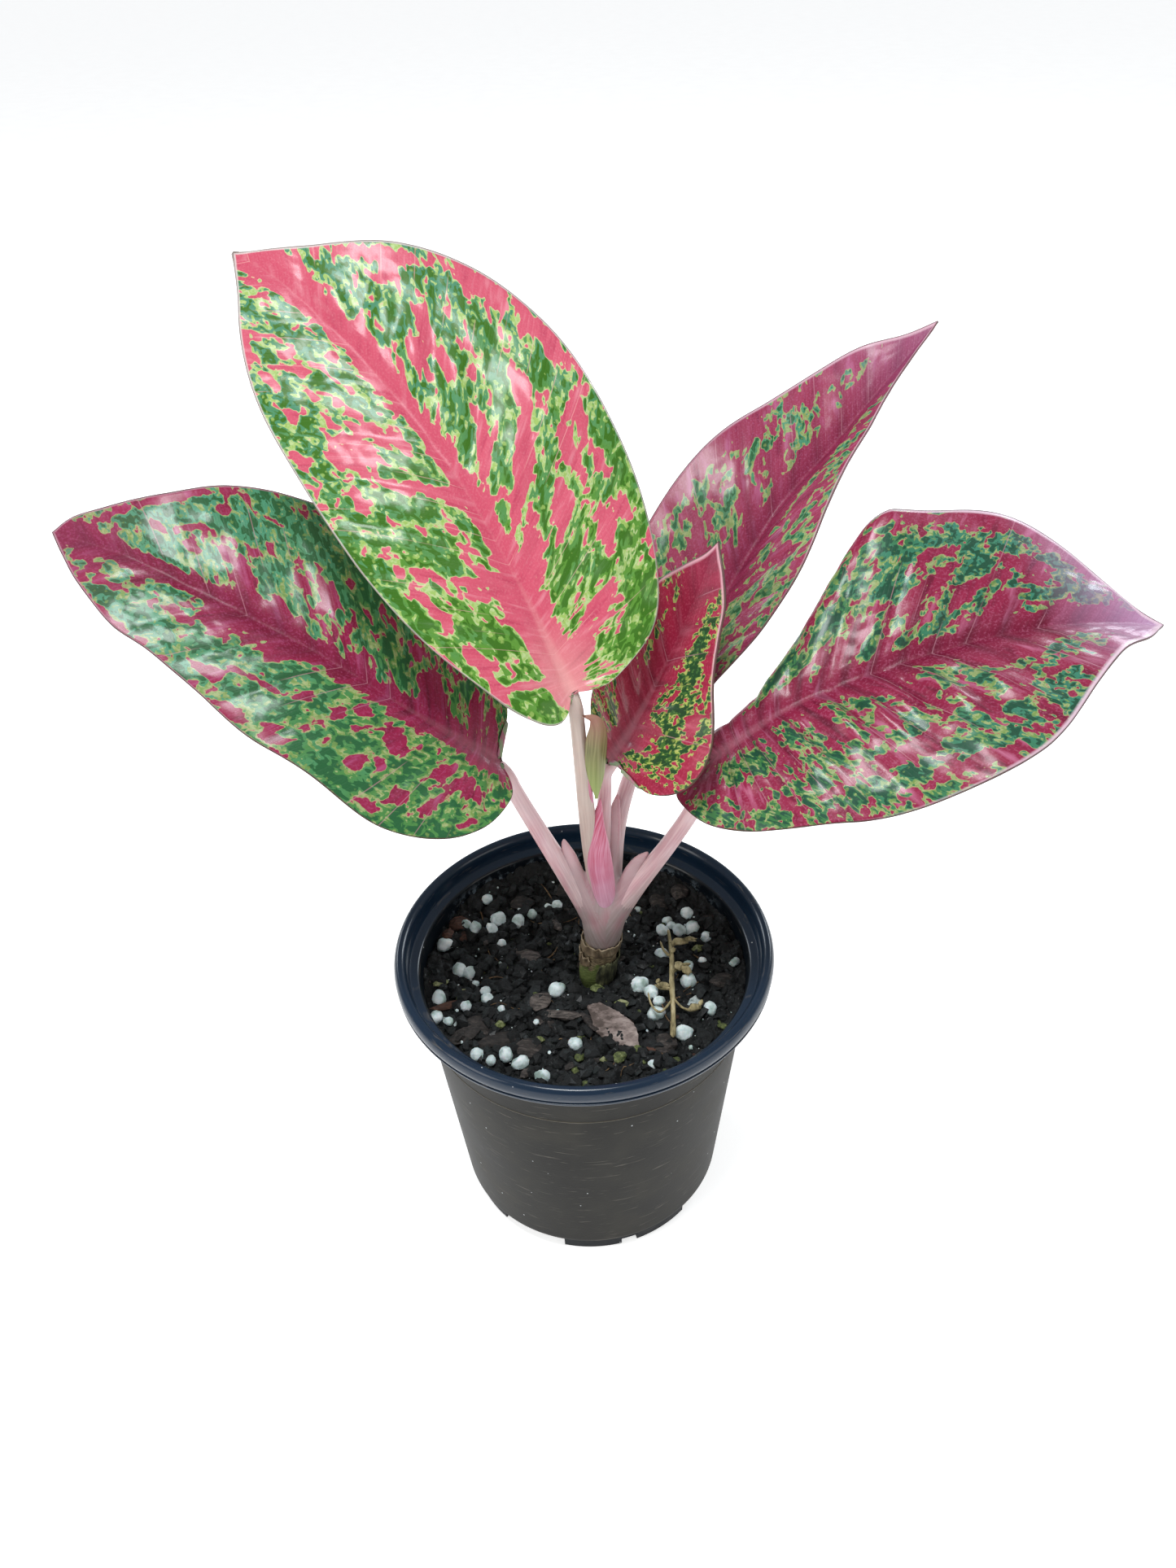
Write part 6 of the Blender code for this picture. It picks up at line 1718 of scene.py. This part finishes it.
class PLANT_OT_blades(bpy.types.Operator):
    """Adds the five mottled blades"""

    bl_idname = "plant.add_blades"
    bl_label = "Add blades"

    def execute(self, context):
        looks = palettes(context.scene.plant_colours)
        rows = context.scene.plant_sizes.blade_rows
        for seed, (name, kind) in enumerate(LEAF_KINDS.items()):
            finish = leaf_skin(f"{kind} leaf skin {name}", looks[kind], 7.3 * seed)
            back = leaf_back(f"{kind} leaf back {name}", looks[kind])
            own_rows = rows if name != "young" else rows * 2 // 3
            blade = model_blade(f"leaf_{name}", LEAVES[name], own_rows, rows // 4)
            slot = "coral_leaf" if kind == "coral" else "crimson_leaf"
            finish_piece(blade, [finish, back], slot, f"blade_{name}")
        return {"FINISHED"}


class PLANT_OT_hood(bpy.types.Operator):
    """Adds the green hood in front of the crown"""

    bl_idname = "plant.add_hood"
    bl_label = "Add hood"

    def execute(self, context):
        skin = hood_skin()
        cataphyll = model_blade("cataphyll", HOOD, 60, 14, 0.5)
        finish_piece(cataphyll, [skin, skin], "green_hood", "hood")
        return {"FINISHED"}


class PLANT_OT_stage(bpy.types.Operator):
    """Adds the floor, the soft lights and the camera"""

    bl_idname = "plant.add_stage"
    bl_label = "Add stage"

    def execute(self, context):
        deselect()
        bpy.ops.mesh.primitive_plane_add(size=40, location=(0, 0, 0))
        floor = named("studio_floor")
        floor.data.materials.append(plain_floor())
        for name, place, size, power, tint in LIGHTS:
            data = bpy.data.lights.new(name, "AREA")
            data.size, data.energy, data.color = size, power, tint
            lamp = bpy.data.objects.new(name, data)
            lamp.location = place
            aim = Vector(LIGHTS_AIM) - Vector(place)
            lamp.rotation_euler = aim.to_track_quat("-Z", "Y").to_euler()
            context.scene.collection.objects.link(lamp)
        world = bpy.data.worlds.new("studio")
        world.use_nodes = True
        set_inputs(world.node_tree.nodes["Background"], {"Color": "#f4f8ff", "Strength": 0.35})
        context.scene.world = world
        context.scene.view_settings.view_transform = "Standard"
        add_camera(context)
        return {"FINISHED"}


def add_camera(context):
    """Puts the camera where the photograph was taken from."""
    down, lean = math.radians(LOOK_DOWN), math.radians(LEAN)
    forward = Vector((0, math.cos(down), -math.sin(down)))
    right = Vector((1, 0, 0))
    up = right.cross(forward)
    across = math.cos(lean) * right + math.sin(lean) * up
    above = math.cos(lean) * up - math.sin(lean) * right
    data = bpy.data.cameras.new("photo_camera")
    data.sensor_width = SENSOR
    data.lens = FOCAL_PIXELS / PHOTO_HEIGHT * SENSOR
    data.clip_start = 0.001
    camera = bpy.data.objects.new("photo_camera", data)
    camera.matrix_world = Matrix((
        (across.x, above.x, -forward.x, EYE[0]),
        (across.y, above.y, -forward.y, EYE[1]),
        (across.z, above.z, -forward.z, EYE[2]),
        (0, 0, 0, 1),
    ))
    context.scene.collection.objects.link(camera)
    context.scene.camera = camera


class PLANT_PT_panel(bpy.types.Panel):
    """Lists the plant's sizes, colours and pieces"""

    bl_label = "Potted aglaonema"
    bl_idname = "PLANT_PT_panel"
    bl_space_type = "VIEW_3D"
    bl_region_type = "UI"
    bl_category = "Plant"

    def draw(self, context):
        for group in (context.scene.plant_sizes, context.scene.plant_colours):
            for key in group.__annotations__:
                self.layout.prop(group, key)
        for operator in OPERATORS:
            self.layout.operator(operator.bl_idname)


OPERATORS = (
    PLANT_OT_pot, PLANT_OT_soil, PLANT_OT_litter, PLANT_OT_cane, PLANT_OT_stalks, PLANT_OT_blades,
    PLANT_OT_hood, PLANT_OT_stage,
)
CLASSES = (PlantSizes, PlantColours, *OPERATORS, PLANT_PT_panel)


def register():
    for kind in CLASSES:
        bpy.utils.register_class(kind)
    bpy.types.Scene.plant_sizes = bpy.props.PointerProperty(type=PlantSizes)
    bpy.types.Scene.plant_colours = bpy.props.PointerProperty(type=PlantColours)


def unregister():
    del bpy.types.Scene.plant_colours
    del bpy.types.Scene.plant_sizes
    for kind in reversed(CLASSES):
        bpy.utils.unregister_class(kind)


def main():
    register()
    bpy.ops.plant.add_pot()
    bpy.ops.plant.add_soil()
    bpy.ops.plant.add_litter()
    bpy.ops.plant.add_cane()
    bpy.ops.plant.add_stalks()
    bpy.ops.plant.add_blades()
    bpy.ops.plant.add_hood()
    bpy.ops.plant.add_stage()


if __name__ == "__main__":
    main()
